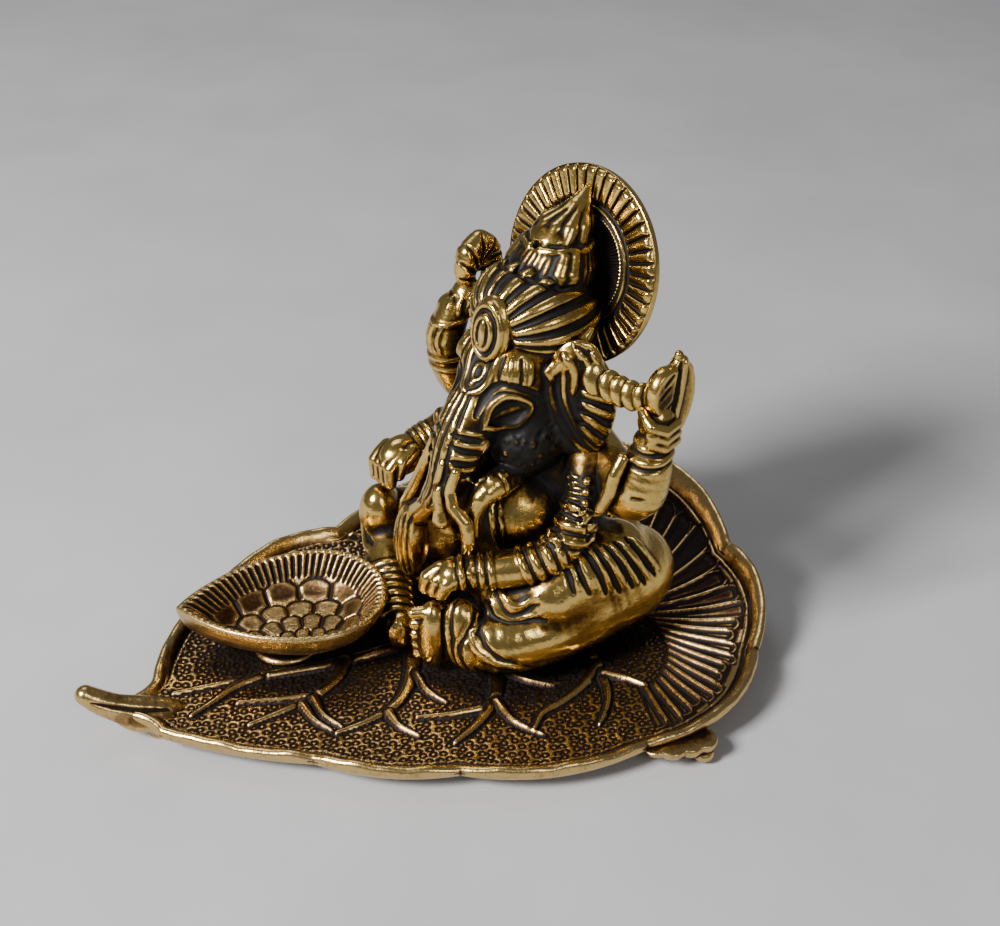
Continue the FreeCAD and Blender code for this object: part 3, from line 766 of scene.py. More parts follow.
def make_foot(name, lumps):
    """A stubby cast foot with a flat sole, built round the CAD foot's own box."""
    low, high = (np.array(corner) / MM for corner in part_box(name))
    middle = (low + high) / 2
    radius = (high[0] - low[0]) / 2
    clay = Clay(low - 7, high + 7, 0.3)
    sole, top = (*middle[:2], 1.2, radius * 0.72), (*middle[:2], high[2] - 0.6, radius * 0.9)
    clay.limb([sole, top], 1)
    for x, y, z, size in lumps:
        clay.ball((middle[0] + x, middle[1] + y, z), (size, size, 0.7 * size), 0.7)
    clay.cut((0, 0, 0), (0, 0, 1))
    clay.cut(high - 0.3, (0, 0, -1))
    x, y, z = (low + np.arange(count) * clay.step for low, count in zip(clay.low, clay.size))
    spots = np.stack(np.meshgrid(x, y, indexing="ij"), -1)
    sheet = tray_height(spots.reshape(-1, 2)).reshape(len(x), len(y))
    clay.field = np.maximum(clay.field, z[None, None, :] - sheet[:, :, None] + 0.6)
    make_clay_piece(name, clay, TRAY_GOLD, ON_ROW)


# ---------------------------------------------------------------- oil lamp, in its own frame

LAMP_HALF = 25.0
LAMP_RADIUS = 17.5
LAMP_FLUTES = 66

# The bowl's section from its floor, over the lip, to its underside: share of the outline, and height
BOWL_SECTION = [(0.0, 6.9), (0.25, 6.9), (0.48, 7.1), (0.60, 7.9), (0.74, 10.2), (0.86, 13.2),
                (0.925, 14.8), (0.96, 15.25), (0.99, 15.1), (1.005, 14.5), (0.995, 13.4), (0.95, 11.2),
                (0.84, 8.4), (0.66, 6.0), (0.48, 4.8), (0.36, 4.5)]


def arc(a, b, c, count):
    """Points from a to c on the circle through a, b and c, without the last."""
    a, b, c = (complex(*p) for p in (a, b, c))
    w = (c - a) / (b - a)
    middle = (b - a) * (w - abs(w) ** 2) / (2j * w.imag) + a
    first, passing, last = (np.angle(p - middle) for p in (a, b, c))
    way = 1 if (passing - first) % (2 * math.pi) < (last - first) % (2 * math.pi) else -1
    sweep = way * ((way * (last - first)) % (2 * math.pi))
    turn = first + sweep * np.arange(count) / count
    spots = middle + abs(a - middle) * np.exp(1j * turn)
    return np.column_stack([spots.real, spots.imag])


def lamp_outline():
    """The bowl's teardrop, evenly spaced, round end first."""
    middle = LAMP_RADIUS - LAMP_HALF
    side = (middle + 0.5 * (LAMP_HALF - middle), 0.78 * LAMP_RADIUS)
    right, left, tip = (middle, -LAMP_RADIUS), (middle, LAMP_RADIUS), (LAMP_HALF, 0.0)
    return np.vstack([arc(left, (-LAMP_HALF, 0.0), right, 190), arc(right, (side[0], -side[1]), tip, 125),
                      arc(tip, side, left, 125)])


def scale_tiles(x, y):
    """Rows of fish scales across the bowl's floor, spreading from its near side."""
    away = np.hypot(x + 4.0, y - 17.0)
    turn = np.arctan2(x + 4.0, 17.0 - y) / math.radians(17.0)
    row_of = np.floor((away - 4.2) / 5.2)
    for _ in range(2):
        outer, across = scale_edge(turn, row_of)
        row_of = np.where(away > outer, row_of + 1, row_of)
    outer, across = scale_edge(turn, row_of)
    side = (1 - across) * 0.5 * away * math.radians(17.0)
    return 0.75 * np.clip((np.minimum(outer - away, side) - 0.15) / 0.9, 0, 1) ** 0.7 - 0.5


def scale_edge(turn, row_of):
    """Where a row's scales end, and how far across its scale each point lies."""
    phase = turn + 0.5 * (row_of % 2)
    across = np.abs(phase - np.floor(phase) - 0.5) * 2
    return 4.2 + 5.2 * (row_of + 1) - 1.7 * across ** 2, across


def make_bowl():
    """The lamp's bowl: fluted wall, lip, and fish scales on its floor."""
    outline = lamp_outline()
    count = len(outline)
    section = smooth_path([(share * LAMP_RADIUS, z) for share, z in BOWL_SECTION], 0.28)
    flutes = np.cos(np.arange(count) / count * LAMP_FLUTES * 2 * math.pi)
    crest = np.argmax(section[:, 1])
    toward_tip = np.clip(outline[:, 0] / LAMP_HALF, 0, 1) ** 2
    rows = []
    for i, (reach, z) in enumerate(section):
        share = np.full(count, reach / LAMP_RADIUS)
        if i <= crest:
            spot = outline * share[:, None] + np.column_stack([-2.0 * (1 - share), 0 * share])
            wall = np.clip((share - 0.72) / 0.06, 0, 1) * np.clip((0.96 - share) / 0.05, 0, 1)
            floor = np.clip((0.76 - share) / 0.04, 0, 1)
            rise = 0.42 * wall * np.abs(flutes) ** 0.7 * np.sign(flutes)
            rise += floor * scale_tiles(spot[:, 0], spot[:, 1])
            push = -0.25 * wall * flutes
        else:
            share += (1 - share) * 0.5 * toward_tip
            spot = outline * share[:, None] + np.column_stack([-2.0 * (1 - share), 0 * share])
            rise = 0.05 * np.sin(np.arange(count) * 0.13)
            push = 0 * share
        spot = spot * (1 + push[:, None] / LAMP_RADIUS)
        rows.append(np.column_stack([spot, z + rise]))
    points = ON_LAMP.world(np.vstack(rows))
    stains_and_shade = [(ON_LAMP.world([(0, -2, 9)])[0], 24, 0.28), (ON_LAMP.world([(-3, 2, 6)])[0], 19, -0.5)]
    faces = grid_faces(len(rows), count, True)[:, ::-1]
    make_piece("diya_bowl", "diya_bowl", LAMP_GOLD, points, faces, stains_and_shade)


def make_stem():
    """The low round stem between the bowl and the tray."""
    clay = Clay((-14, -14, -2), (14, 14, 9), 0.3)
    clay.ball((0, 0, 0.4), (8.2, 8.2, 2.4), 0.6)
    clay.ball((0, 0, 3.0), (6.4, 6.4, 3.0), 0.6)
    clay.cut((0, 0, 0), (0, 0, 1))
    clay.ring((0, 0, 2.4), (0, 0, 1), 6.5, 0.8, -0.5)
    make_clay_piece("diya_stem", clay, LAMP_GOLD, ON_LAMP)


# ---------------------------------------------------------------- halo

HALO_CENTRE = np.array([-17.8, 0.0, 89.0])
HALO_LEAN = math.radians(13.0)
HALO_AHEAD = np.array([math.cos(HALO_LEAN), 0, math.sin(HALO_LEAN)])
HALO_BARS = 46
HALO_RADIUS = 22.5


def halo_front(reach, turn):
    """How far the halo's front stands out at a distance from its middle."""
    phase = turn * HALO_BARS / (2 * math.pi)
    across = np.abs(phase - np.floor(phase) - 0.5) * 2
    bar = np.clip(1 - (across / 0.84) ** 4, 0, 1) ** 0.5
    ends = np.sqrt(np.clip((reach - 15.0) / 1.2, 0, 1) * np.clip(HALO_RADIUS - reach, 0, 1))
    bars = (0.25 + 1.15 * bar * ends) * (reach > 14.6)
    line = 1.25 * np.exp(-((reach - 13.9) / 0.55) ** 2)
    line += 0.7 * np.exp(-((reach - 12.2) / 0.45) ** 2)
    rays = 0.3 * np.cos(turn * 92) * np.exp(-((reach - 10.2) / 1.6) ** 2)
    tilt = 0.35 * np.clip((reach - 14.6) / 8, 0, 1)
    return -0.1 + np.maximum(bars, line) + rays + tilt


def make_halo():
    """The halo's patterned front and rim, and its plain back."""
    count = HALO_BARS * 16
    turn = np.arange(count) / count * 2 * math.pi
    flat = np.zeros(len(turn))
    reaches = [*np.arange(0.3, HALO_RADIUS, 0.26), HALO_RADIUS + 0.1]
    rows = [(reach, halo_front(reach, turn)) for reach in reaches]
    rows += [(HALO_RADIUS + 0.22, flat + 0.9), (HALO_RADIUS + 0.25, flat + 0.3),
             (HALO_RADIUS + 0.25, flat - 0.4), (HALO_RADIUS + 0.1, flat - 1.0)]
    middle = ON_FIGURE.world([HALO_CENTRE])[0]
    # painted shadow: the first spot darkens the halo's middle where it lies behind the turban and cone; the
    # second lightens the whole halo a little
    make_disc("halo", rows, turn, [(middle, 15.5, 0.9), (middle, 60, -0.16)])
    rows = [(HALO_RADIUS + 0.1, flat - 1.0), (HALO_RADIUS - 0.3, flat - 1.4), (HALO_RADIUS - 1.1, flat - 1.5)]
    for reach in np.arange(20.5, 0.4, -1.5):
        wave = np.sin(0.3 * reach * np.cos(turn) + 1) * np.sin(0.2 * reach * np.sin(turn))
        rows.append((reach, -1.5 + 0.04 * wave))
    make_disc("halo_back", rows, turn, [])


def make_disc(name, rows, turn, stains_and_shade):
    """Part of the halo from rings of points: each ring's radius, and how far it stands ahead."""
    up = np.array([-math.sin(HALO_LEAN), 0, math.cos(HALO_LEAN)])
    left = np.array([0.0, 1.0, 0.0])
    outward = np.cos(turn)[:, None] * up + np.sin(turn)[:, None] * left
    points = [HALO_CENTRE + ahead[:, None] * HALO_AHEAD + reach * outward for reach, ahead in rows]
    faces = grid_faces(len(rows), len(turn), True)
    make_piece(name, "halo", FIGURE_GOLD, ON_FIGURE.world(np.vstack(points)), faces, stains_and_shade)


# ---------------------------------------------------------------- figure, in its own frame

def on_side(points, side):
    """Points given for the figure's left, kept there where side is 1 and mirrored where it is -1."""
    return [(x, side * y, *rest) for x, y, *rest in points]


def make_body():
    """Belly, chest, hips and both folded legs, with the folds of the cloth over them."""
    clay = Clay((-38, -46, -2), (44, 46, 62), 0.45)
    clay.ball((-6, 0, 22), (16, 18, 19), 2)
    clay.ball((-8, 0, 43), (12, 18, 14), 3)
    clay.ball((-7, 0, 8), (19, 25, 10), 3)
    clay.ball((1.5, 0, 34), (15.5, 15.5, 13), 1.5)
    make_left_leg(clay)
    make_right_leg(clay)
    clay.cut((0, 0, 0), (0, 0, 1))
    dress_belly(clay)
    dress_left_leg(clay)
    dress_right_leg(clay)
    dress_back(clay)
    make_clay_piece("figure_body", clay, FIGURE_GOLD)


def make_left_leg(clay):
    """Thigh, draped knee, shin, and the foot with its five toes."""
    clay.limb([(-17, 15, 14, 11), (-12, 21, 15, 11.8), (-2, 21.5, 14, 10.5)], 2)
    clay.limb([(8, 19.5, 20, 8.6), (-1, 22, 25.5, 8.4), (-9, 23, 25, 8.2)], 5)
    clay.ball((-16.5, 23, 17), (9.6, 9.2, 10.5), 4)
    clay.limb([(0, 21, 12, 9.5), (11, 19.5, 10.6, 8.8), (19, 16, 9.6, 8.0), (24.5, 11.5, 9, 6.8)], 2)
    clay.ball((13, 13, 18), (9, 9, 7), 2)
    clay.ball((27, 9, 11.5), (4.6, 4.8, 9.5), 1)
    clay.ball((31.5, 4.2, 10.5), (3.8, 4.4, 9.6), 0.5, turned(z=-40))
    for i, z in enumerate((17.6, 14.4, 11.4, 8.5, 5.6)):
        clay.limb([(32, 4.5, z, 1.7), (35.2 - 0.25 * i, 1.6, z - 0.4, 1.5)], 0.35)


def make_right_leg(clay):
    """Thigh, knee, shin and foot of the other leg."""
    clay.limb([(-15, -15, 12, 11), (-6, -21, 12, 12), (4, -24, 12, 10)], 2)
    clay.limb([(2, -24, 12, 9), (11, -28.5, 17, 8.2), (16.5, -31, 19.5, 7.0)], 2)
    clay.ball((19.2, -31.0, 22.0), (5.6, 5.2, 7.6), 0.8)
    clay.limb([(17, -30.5, 15, 6.8), (22, -24.5, 11.5, 6.2), (27, -17.5, 9, 5.2), (30, -11.5, 6.2, 4.4)], 1.5)
    clay.ball((32, -7.5, 5), (4.2, 3.4, 5.0), 0.8)


def dress_belly(clay):
    """The cloth's square-cornered hem over the belly, and the dark hollow above it."""
    hem = [(16.6, 6.6, 42), (16.2, 7.4, 37), (15.4, 8.0, 32), (14.2, 8.2, 28.4), (11.5, 11.5, 27.8),
           (7.5, 15, 27.6)]
    for shift, width, height in ((0.0, 1.2, 1.1), (1.4, 0.8, -1.1), (2.5, 0.9, 0.6), (3.5, 0.6, -0.6)):
        clay.line([(x, y + 0.8 * shift, z + 0.6 * shift) for x, y, z in hem], width, height, 0.1)
    # patina and painted shade: darker in the hollow between the arm and the belly
    clay.stain_and_shade((4, 16, 46), 9, 0.5)
    clay.stain_and_shade((18, 5, 34), 5, 0.3)
    clay.stain_and_shade((20, -4, 26), 9, 0.3)


def dress_left_leg(clay):
    """Slanting pleats over the knee, the smooth shin's cuff, the anklets and folds beside the foot."""
    pleats = [((10.2, 24, 33), (8.8, 28.0, 24.5)), ((7.6, 25.5, 34), (5.4, 29.5, 23.5)),
              ((4.9, 26.5, 36), (0.8, 30.5, 22)), ((1.8, 28, 35.5), (-2.8, 31.5, 21.2)),
              ((-1.2, 28.5, 34.5), (-6.6, 31.5, 20.8)), ((-4.6, 28.5, 33.8), (-10.0, 31.5, 20.6)),
              ((-8.0, 28, 33), (-13.4, 31.5, 21.4))]
    for i, (top, bottom) in enumerate(pleats):
        middle = np.add(top, bottom) / 2 + np.array([0.3 + 0.5 * (i % 2), 1.2, 0.8])
        clay.line([top, middle, bottom], 1.15 - 0.25 * (i % 3 == 1), -1.5, 0.5)
        shifts = [(-1.5, 0.2, 0), (-1.6, 0.2, 0), (-1.5, 0, 0.4)]
        clay.line([np.add(spot, shift) for spot, shift in zip((top, middle, bottom), shifts)], 1.2, 0.8, 0.5)
    cuff = [(24.8, 9, 17.5), (27, 13, 13), (26.6, 18.5, 9.5), (24, 22.6, 7.6), (20, 25.5, 5)]
    clay.line(cuff, 1.2, 1.0, 0.1)
    clay.line([(23.4, 9.5, 18), (25.4, 14, 14), (24.8, 19, 10.5), (22.4, 23, 8.6)], 0.9, -1.0, 0.2)
    for i in range(6):
        clay.line([(27.5 - 0.4 * i, 6.2 + 1.1 * i, 22 - i), (29.6 - 0.3 * i, 8 + 1.1 * i, 14 - i),
                   (29.4 - 0.3 * i, 9.6 + 1.3 * i, 6.5 - 0.8 * i)], 0.75, 0.9 if i % 2 else -1.0, 0.15)
    for i in range(4):
        swag = [(23.2 - 0.9 * i, 11.5 + 0.9 * i, 20.6 + 1.4 * i),
                (19.8 - 0.6 * i, 17.4 + 0.2 * i, 14.8 + 1.8 * i),
                (12.6 + 0.3 * i, 23.2 - 0.5 * i, 18.6 + 1.5 * i)]
        clay.line(swag, 0.9, -0.9 if i % 2 == 0 else 0.8, 0.35)
    for i in range(9):
        top, foot = (-22 - 0.3 * i, 20 + 0.8 * i, 26 - 0.9 * i), (-24.5, 23 + 0.4 * i, 22 - 1.2 * i)
        clay.line([top, foot], 0.5, -0.4, 0.2)
    clay.stain_and_shade((12, 17, 27), 8, 0.35)
    clay.stain_and_shade((28, 9, 16), 6, 0.5)
    clay.stain_and_shade((-2, 30, 27), 9, 0.15)


def dress_right_leg(clay):
    """Folds under the right knee and the stacked anklets."""
    for i in range(6):
        drop = 2.3 * i
        fold = [(21.0 - 0.3 * i, -36.6, 20.5 - drop), (24.6 - 0.2 * i, -32.0, 17.2 - drop),
                (25.4, -26.5, 16.8 - drop)]
        clay.line(fold, 1.0, -1.2 if i % 2 == 0 else 1.2, 0.25)
    for t in np.linspace(0, 1, 7):
        clay.ring((24.5 + 6 * t, -21 + 10.5 * t, 10.2 - 4 * t), (0.55, 0.8, -0.3), 5.6 - 1.0 * t, 0.95, 1.1)
    for i in range(5):
        clay.line([(34, -9.6 + 1.4 * i, 8), (36, -9 + 1.2 * i, 4), (36, -9 + 1.2 * i, 1)], 0.6, -0.8, 0.2)
    clay.line([(14, -37, 22), (8, -37, 19), (0, -35.5, 14)], 1.0, -0.9)
    clay.line([(14, -36.5, 25), (7, -36, 22.5), (-1, -34, 19)], 1.0, -0.9)
    clay.stain_and_shade((27, -20, 10), 9, 0.25)


def dress_back(clay):
    """The cloth's band and folds round the hips and over the back."""
    for z, height in ((17.5, 0.9), (15.8, -0.7), (30, 0.7), (28.4, -0.6)):
        loop = [(-21, -20, z), (-25, -10, z), (-26, 0, z), (-25, 10, z), (-21, 20, z)]
        clay.line(loop, 1.1, height, 0.15)
    for i in range(-5, 6):
        clay.line([(-25.5 + 0.12 * i * i, 3.6 * i, 14), (-26.5 + 0.12 * i * i, 4.0 * i, 7),
                   (-26 + 0.12 * i * i, 4.2 * i, 2)], 1.0, -0.8, 0.3)
    for side in (1, -1):
        sash = [(-4, side * 16, 52), (-15, side * 11, 48), (-20, side * 5, 40), (-22, 0, 34)]
        clay.line(sash, 1.3, 1.0, 0.1)
        clay.line([(-4, side * 18, 49), (-15, side * 13.5, 45), (-21, side * 7, 37)], 0.8, -0.7, 0.1)


def make_head():
    """Elephant head with its ears, tusks and trunk."""
    clay = Clay((-18, -32, 10), (38, 32, 90), 0.33)
    clay.ball((0, 0, 66), (13.5, 12.6, 15), 2)
    for side in (1, -1):
        clay.ball((5, side * 5.4, 73), (8, 6.4, 7), 2.5)
        clay.ball((3, side * 6, 54), (10, 8, 9), 3)
    clay.limb([(8, 0, 68, 7.4), (15, 0, 62, 6.8), (19.4, 0, 55.5, 6.0), (21.6, -0.6, 48.5, 5.0),
               (22.4, -3, 42.5, 4.2)], 3)
    clay.limb([(22.4, -3, 42.5, 3.8), (22.6, -7.5, 37, 3.2), (22.4, -12, 32.5, 3.0)], 1.5)
    clay.ball((23.4, -13.3, 24.6), (4.4, 4.4, 11.0), 0.6, turned(x=-3))
    for side in (1, -1):
        make_ear(clay, side)
        make_tusk(clay, side)
    make_trunk_strands(clay)
    dress_trunk(clay)
    for side in (1, -1):
        make_eye(clay, side)
        dress_cheek(clay, side)
        dress_ear(clay, side)
    dress_forehead(clay)
    clay.stain_and_shade((20, 2, 58), 18, 0.32)
    make_clay_piece("head", clay, FIGURE_GOLD)


def make_ear(clay, side):
    """A flat ear that turns outwards, with its upper leaf."""
    clay.ball((-2.6, side * 16, 65.5), (2.0, 8.4, 14.2), 1.0, turned(z=side * 42))
    clay.ball((-1.5, side * 16, 76), (1.8, 5.6, 6.0), 0.8, turned(x=side * -24, z=side * 42))
    leaf = [(3, 12.4, 73.5, 1.0), (-0.5, 15, 78, 2.0), (-5.5, 16, 83, 0.7)]
    clay.limb(on_side(leaf, side), 0.5)


def make_tusk(clay, side):
    """A tusk that leaves the cheek and bends down to a point."""
    tusk = [(11, 8, 48.5, 3.4), (15.8, 8.4, 47.8, 3.3), (19.6, 8.0, 45.8, 2.4), (21.4, 7.6, 41.5, 1.7),
            (21.0, 7.6, 36.4, 1.2)]
    clay.limb(on_side(tusk, side), 0.6)


def make_trunk_strands(clay):
    """The cords that hang beside the trunk and swing over to the knee."""
    clay.limb([(25, 1.6, 54, 1.2), (26.4, 1.2, 48, 1.4), (26.8, 2.2, 43, 1.5), (26.8, 2.6, 40.4, 2.2)], 0.6)
    clay.limb([(24, 4.6, 53, 1.2), (25.2, 3.8, 48, 1.4), (25.6, 5.2, 44.6, 1.5), (24.8, 8.6, 41.8, 1.6),
               (24.6, 9.4, 37.4, 1.7), (24, 8, 33, 1.3)], 0.5)
    clay.limb([(14, -3.4, 69, 0.8), (19, -4.6, 62, 1.2), (22.4, -6.6, 52, 1.5), (23, -11, 42, 1.7),
               (21.8, -16.6, 33, 1.8), (20.6, -19.8, 28.6, 1.3)], 0.5)


def dress_trunk(clay):
    """Furrows down the trunk, wrinkles across its sides and the coil at its end."""
    for y, depth in ((-3.4, -1.3), (-1.6, -1.1), (0.2, -0.7), (2.4, -1.0)):
        furrow = [(16, 0.6 * y, 68), (21, 0.8 * y, 61), (25, y - 0.4, 53), (27, y - 2.0, 46),
                  (27, y - 5.5, 40)]
        clay.line(furrow, 0.85, depth, 0.25)
    for z in (60.4, 57.4, 54.2, 51.2):
        clay.line([(22.5, 1.8, z + 0.8), (20.6, 4.4, z), (17.6, 5.8, z - 0.8)], 0.95, -1.2, 0.3)
        clay.line([(22.5, 1.8, z + 2.3), (20.6, 4.4, z + 1.5), (17.6, 5.8, z + 0.7)], 0.8, 0.5, 0.3)
        clay.line([(22.5, -1.8, z + 0.8), (20.6, -4.4, z), (17.6, -5.8, z - 0.8)], 0.95, -1.0, 0.3)
    for i in range(5):
        root = (20.6 - 1.5 * i, 5.4 + 0.8 * i, 51 - 0.2 * i)
        edge = (20.4 - 1.4 * i, 6.4 + 0.8 * i, 47.4 - 0.2 * i)
        clay.line([root, edge], 0.8, 0.9, 0.3)
    for y in (-15.9, -14.0, -12.1, -10.2):
        clay.line([(26.4, y, 34), (28.4, y, 25), (26.6, y, 15.5)], 0.95, -1.1, 0.3)


def make_eye(clay, side):
    """Almond eye with a rolled lid all round it."""
    upper = [(16.8, 5.4, 62.8), (14.4, 6.4, 67.4), (10.6, 8.6, 69.4), (7.0, 11.3, 66.2)]
    lower = [(16.8, 5.4, 62.8), (13.4, 7.8, 61.2), (9.8, 10.2, 62.0), (7.0, 11.3, 66.2)]
    lens = [(14.4, 6.8, 64.2), (11.4, 8.6, 65.2), (8.8, 10.4, 65.8)]
    crease = [(18, 4.4, 65.0), (15.2, 5.4, 70.4), (10.6, 8.0, 72.4), (6.0, 11.2, 69.4)]
    upper, lower, lens, crease = (on_side(path, side) for path in (upper, lower, lens, crease))
    clay.line(lens, 3.4, -1.3, 0.25)
    clay.line(upper, 1.25, 1.25, 0.12)
    clay.line(lower, 1.2, 1.15, 0.12)
    clay.line(lens, 1.9, 1.7, 0.4)
    clay.line(crease, 1.2, -1.1, 0.25)
    clay.stain_and_shade((12, side * 8, 66), 10, 0.42)


def dress_cheek(clay, side):
    """The rough dark cheek, with one rounded wart below the eye."""
    clay.dots([(16.8, side * 6.0, 57.6)], 2.3, 1.1)
    seeds = np.random.default_rng(7)
    for _ in range(70):
        spot = (seeds.uniform(0, 15), side * seeds.uniform(7, 14), seeds.uniform(47, 61))
        clay.dots([spot], seeds.uniform(0.6, 1.2), seeds.uniform(-0.5, 0.5))
    # patina and painted shade: the cheek is darkened deep between the ear and the trunk
    clay.stain_and_shade((6, side * 12, 54), 12, 0.95)
    clay.stain_and_shade((2, side * 13, 63), 9, 0.7)
    clay.stain_and_shade((5, side * 11, 72), 6, 0.45)


def dress_ear(clay, side):
    """Rolled double edge, leaf folds at the top and thick slanting bars at the back of the ear."""
    front = [(2.6, 12.6, 76), (3.0, 12.7, 69), (1.4, 14.2, 62), (-1, 17, 56), (-4.4, 19.6, 52)]
    inner = [(x - 2.0, y + 2.0, z + 0.3) for x, y, z in front]
    bars = [[(-1.6, 18.6, 69.4), (-6.8, 23.6, 67.2)], [(-1.6, 18.6, 66.6), (-6.6, 23.8, 63.0)],
            [(-1.4, 18.6, 63.6), (-5.6, 23.4, 58.6)], [(-1.0, 18.4, 60.6), (-4.6, 22.0, 55.4)]]
    folds = [[(1.0, 14.6, 79), (-0.5, 16.4, 74), (0, 16.4, 69)],
             [(-1.0, 16.8, 80), (-2.6, 19, 76), (-2.2, 19, 72)],
             [(-3.0, 19.0, 79), (-4.8, 21.4, 74), (-4.4, 21.6, 70)]]
    raised = [(front, 1.3, 1.8), (inner, 1.0, 1.3)]
    raised += [(bar, 1.6, 1.7) for bar in bars] + [(fold, 1.4, 1.5) for fold in folds]
    for path, width, height in raised:
        clay.line(on_side(path, side), width, height, 0.25)
    for path in bars + folds[1:]:
        shifted = [(x + 0.9, y - 0.5, z + 1.5) for x, y, z in path]
        clay.line(on_side(shifted, side), 0.8, -0.9, 0.25)
    clay.stain_and_shade((-1.0, side * 16.5, 62), 8, 0.35)
    clay.stain_and_shade((-9, side * 17, 60), 12, 0.3)


def dress_forehead(clay):
    """The curled mark between the eyes and the small folds beside it."""
    clay.stain_and_shade((12, 0, 74), 9, 0.25)
    clay.ring((14.2, 0.8, 73.6), (1, 0.1, 0.35), 1.5, 0.8, 0.9, 1.4)
    clay.line([(11.4, -3.4, 78), (13.8, -3.0, 73.5), (15.6, -1.4, 69.6), (16.2, 0.2, 68)], 1.1, 0.9, 0.2)
    clay.line([(11.0, 4.4, 78), (13.2, 4.2, 73.5), (14.8, 3.0, 70), (16.2, 0.8, 68)], 1.1, 0.9, 0.2)
    clay.dots([(15.2, 0.6, 70.8)], 1.1, 0.9)
    for side in (1, -1):
        for i in range(4):
            top = (10.4 - 1.2 * i, side * (5.8 + 1.3 * i), 78 - 0.3 * i)
            foot = (11.6 - 1.3 * i, side * (6.2 + 1.3 * i), 72.6 - 0.2 * i)
            clay.line([top, foot], 0.8, 0.8 if i % 2 else -0.8, 0.3)


TURBAN_MIDDLE = np.array([-4.0, 0.0, 82.0])
TURBAN_LEAN = math.radians(20.0)
TIER_MIDDLE = np.array([-9.2, 0.0, 93.5])
CONE_FOOT = np.array([-11.0, 0.0, 97.6])
CONE_TOP = np.array([-19.0, 0.0, 107.0])


def make_turban():
    """Wound turban with its gores, a beaded second tier and a fluted cone on top."""
    clay = Clay((-30, -19, 66), (16, 19, 113), 0.33)
    clay.ball(TURBAN_MIDDLE, (14.5, 14.5, 12), 1.5, turned(y=-20))
    clay.limb([(*(TIER_MIDDLE + (1.4, 0, -4)), 8.4), (*(TIER_MIDDLE + (-0.6, 0, 1.4)), 7.4)], 0.5)
    clay.limb([(*(CONE_FOOT + (0, 0, 0.5)), 4.6), (-14.6, 0, 102, 2.8), (*CONE_TOP, 0.8)], 0.5)
    wind_gores(clay)
    for turn in range(0, 360, 10):
        if abs((abs(turn if turn < 180 else turn - 360)) - 60) > 15:
            make_tier_bead(clay, turn, 1.15)
    for turn in (60, -60):
        make_tier_bead(clay, turn - 7, 2.3)
        make_tier_bead(clay, turn + 7, 2.3)
    ring = np.radians(np.linspace(-180, 180, 30))
    for z, size, width, height in ((97.2, 7.4, 1.0, 1.1), (98.4, 6.8, 0.7, -1.2), (88.6, 9.4, 0.9, -1.2)):
        loop = [(TIER_MIDDLE[0] - 0.3 * (z - 92) + size * math.cos(a), size * math.sin(a), z) for a in ring]
        clay.line(loop, width, height, 0)
    make_cone_flutes(clay)
    clay.stain_and_shade(TURBAN_MIDDLE, 30, 0.46)
    # painted shade: darker on the turban's left side, away from the key light
    clay.stain_and_shade((-6, 11, 86), 10, 0.3)
    clay.cut(HALO_CENTRE - 0.8 * HALO_AHEAD, HALO_AHEAD)
    make_clay_piece("turban", clay, FIGURE_GOLD)


def wind_gores(clay):
    """The turban's pleats run from the brooch over the dome to the back of the head."""
    ahead = np.array([math.cos(TURBAN_LEAN), 0, -math.sin(TURBAN_LEAN) * 0.2])
    up = np.array([-math.sin(TURBAN_LEAN) * 0.6, 0, math.cos(TURBAN_LEAN)])
    left = np.array([0.0, 1.0, 0.0])
    sweep = np.radians(np.linspace(28, 150, 9))[:, None]
    for roll in (0, 22, 42, 61, 80, 98):
        for side in (1, -1):
            out = math.cos(math.radians(roll)) * up + side * math.sin(math.radians(roll)) * left
            path = TURBAN_MIDDLE + 13.6 * (np.cos(sweep) * ahead + np.sin(sweep) * out)
            clay.line(path, 1.25, -1.6, 0.3)
    for roll in (11, 32, 51.5, 70.5, 89):
        for side in (1, -1):
            out = math.cos(math.radians(roll)) * up + side * math.sin(math.radians(roll)) * left
            path = TURBAN_MIDDLE + 14.2 * (np.cos(sweep) * ahead + np.sin(sweep) * out)
            clay.line(path, 1.9, 0.7, 0.3)
    band = np.radians(np.linspace(-150, 150, 25))
    for z, size, width, height in ((75.0, 13.2, 2.4, 1.3), (72.2, 12.6, 0.8, 0.9), (73.3, 12.8, 0.6, -0.8),
                                   (70.6, 12.2, 0.7, 0.8)):
        loop = [(-3 + size * math.cos(a), size * math.sin(a), z - 1.2 * math.cos(a)) for a in band]
        clay.line(loop, width, height, 0)


def make_tier_bead(clay, turn, size):
    """One upright bead of the second tier, slanting with the pleats."""
    a, slant = math.radians(turn), math.radians(turn + 8)
    foot = TIER_MIDDLE + np.array([9.0 * math.cos(a) + 0.8, 9.0 * math.sin(a), -4.0])
    head = TIER_MIDDLE + np.array([7.4 * math.cos(slant) - 0.8, 7.4 * math.sin(slant), 2.8])
    middle = (foot + head) / 2 + np.array([0.5 * math.cos(a), 0.5 * math.sin(a), 0])
    clay.limb([(*foot, 0.8 * size), (*middle, size), (*head, 0.75 * size)], 0.2)


def make_cone_flutes(clay):
    """Flame-like flutes that close at the cone's tip, over a scalloped foot."""
    for turn in range(20, 380, 40):
        a = math.radians(turn)
        out = np.array([math.cos(a), math.sin(a), 0.0])
        foot = CONE_FOOT + 5.0 * out + (0.6 * math.cos(a), 0, 0.6)
        belly = CONE_FOOT + 4.4 * out + (-1.6, 0, 3.2)
        neck = 0.45 * CONE_FOOT + 0.55 * CONE_TOP + 2.5 * out
        clay.limb([(*foot, 1.9), (*belly, 2.0), (*neck, 1.4), (*(CONE_TOP + 0.4 * out), 0.6)], 0.2)


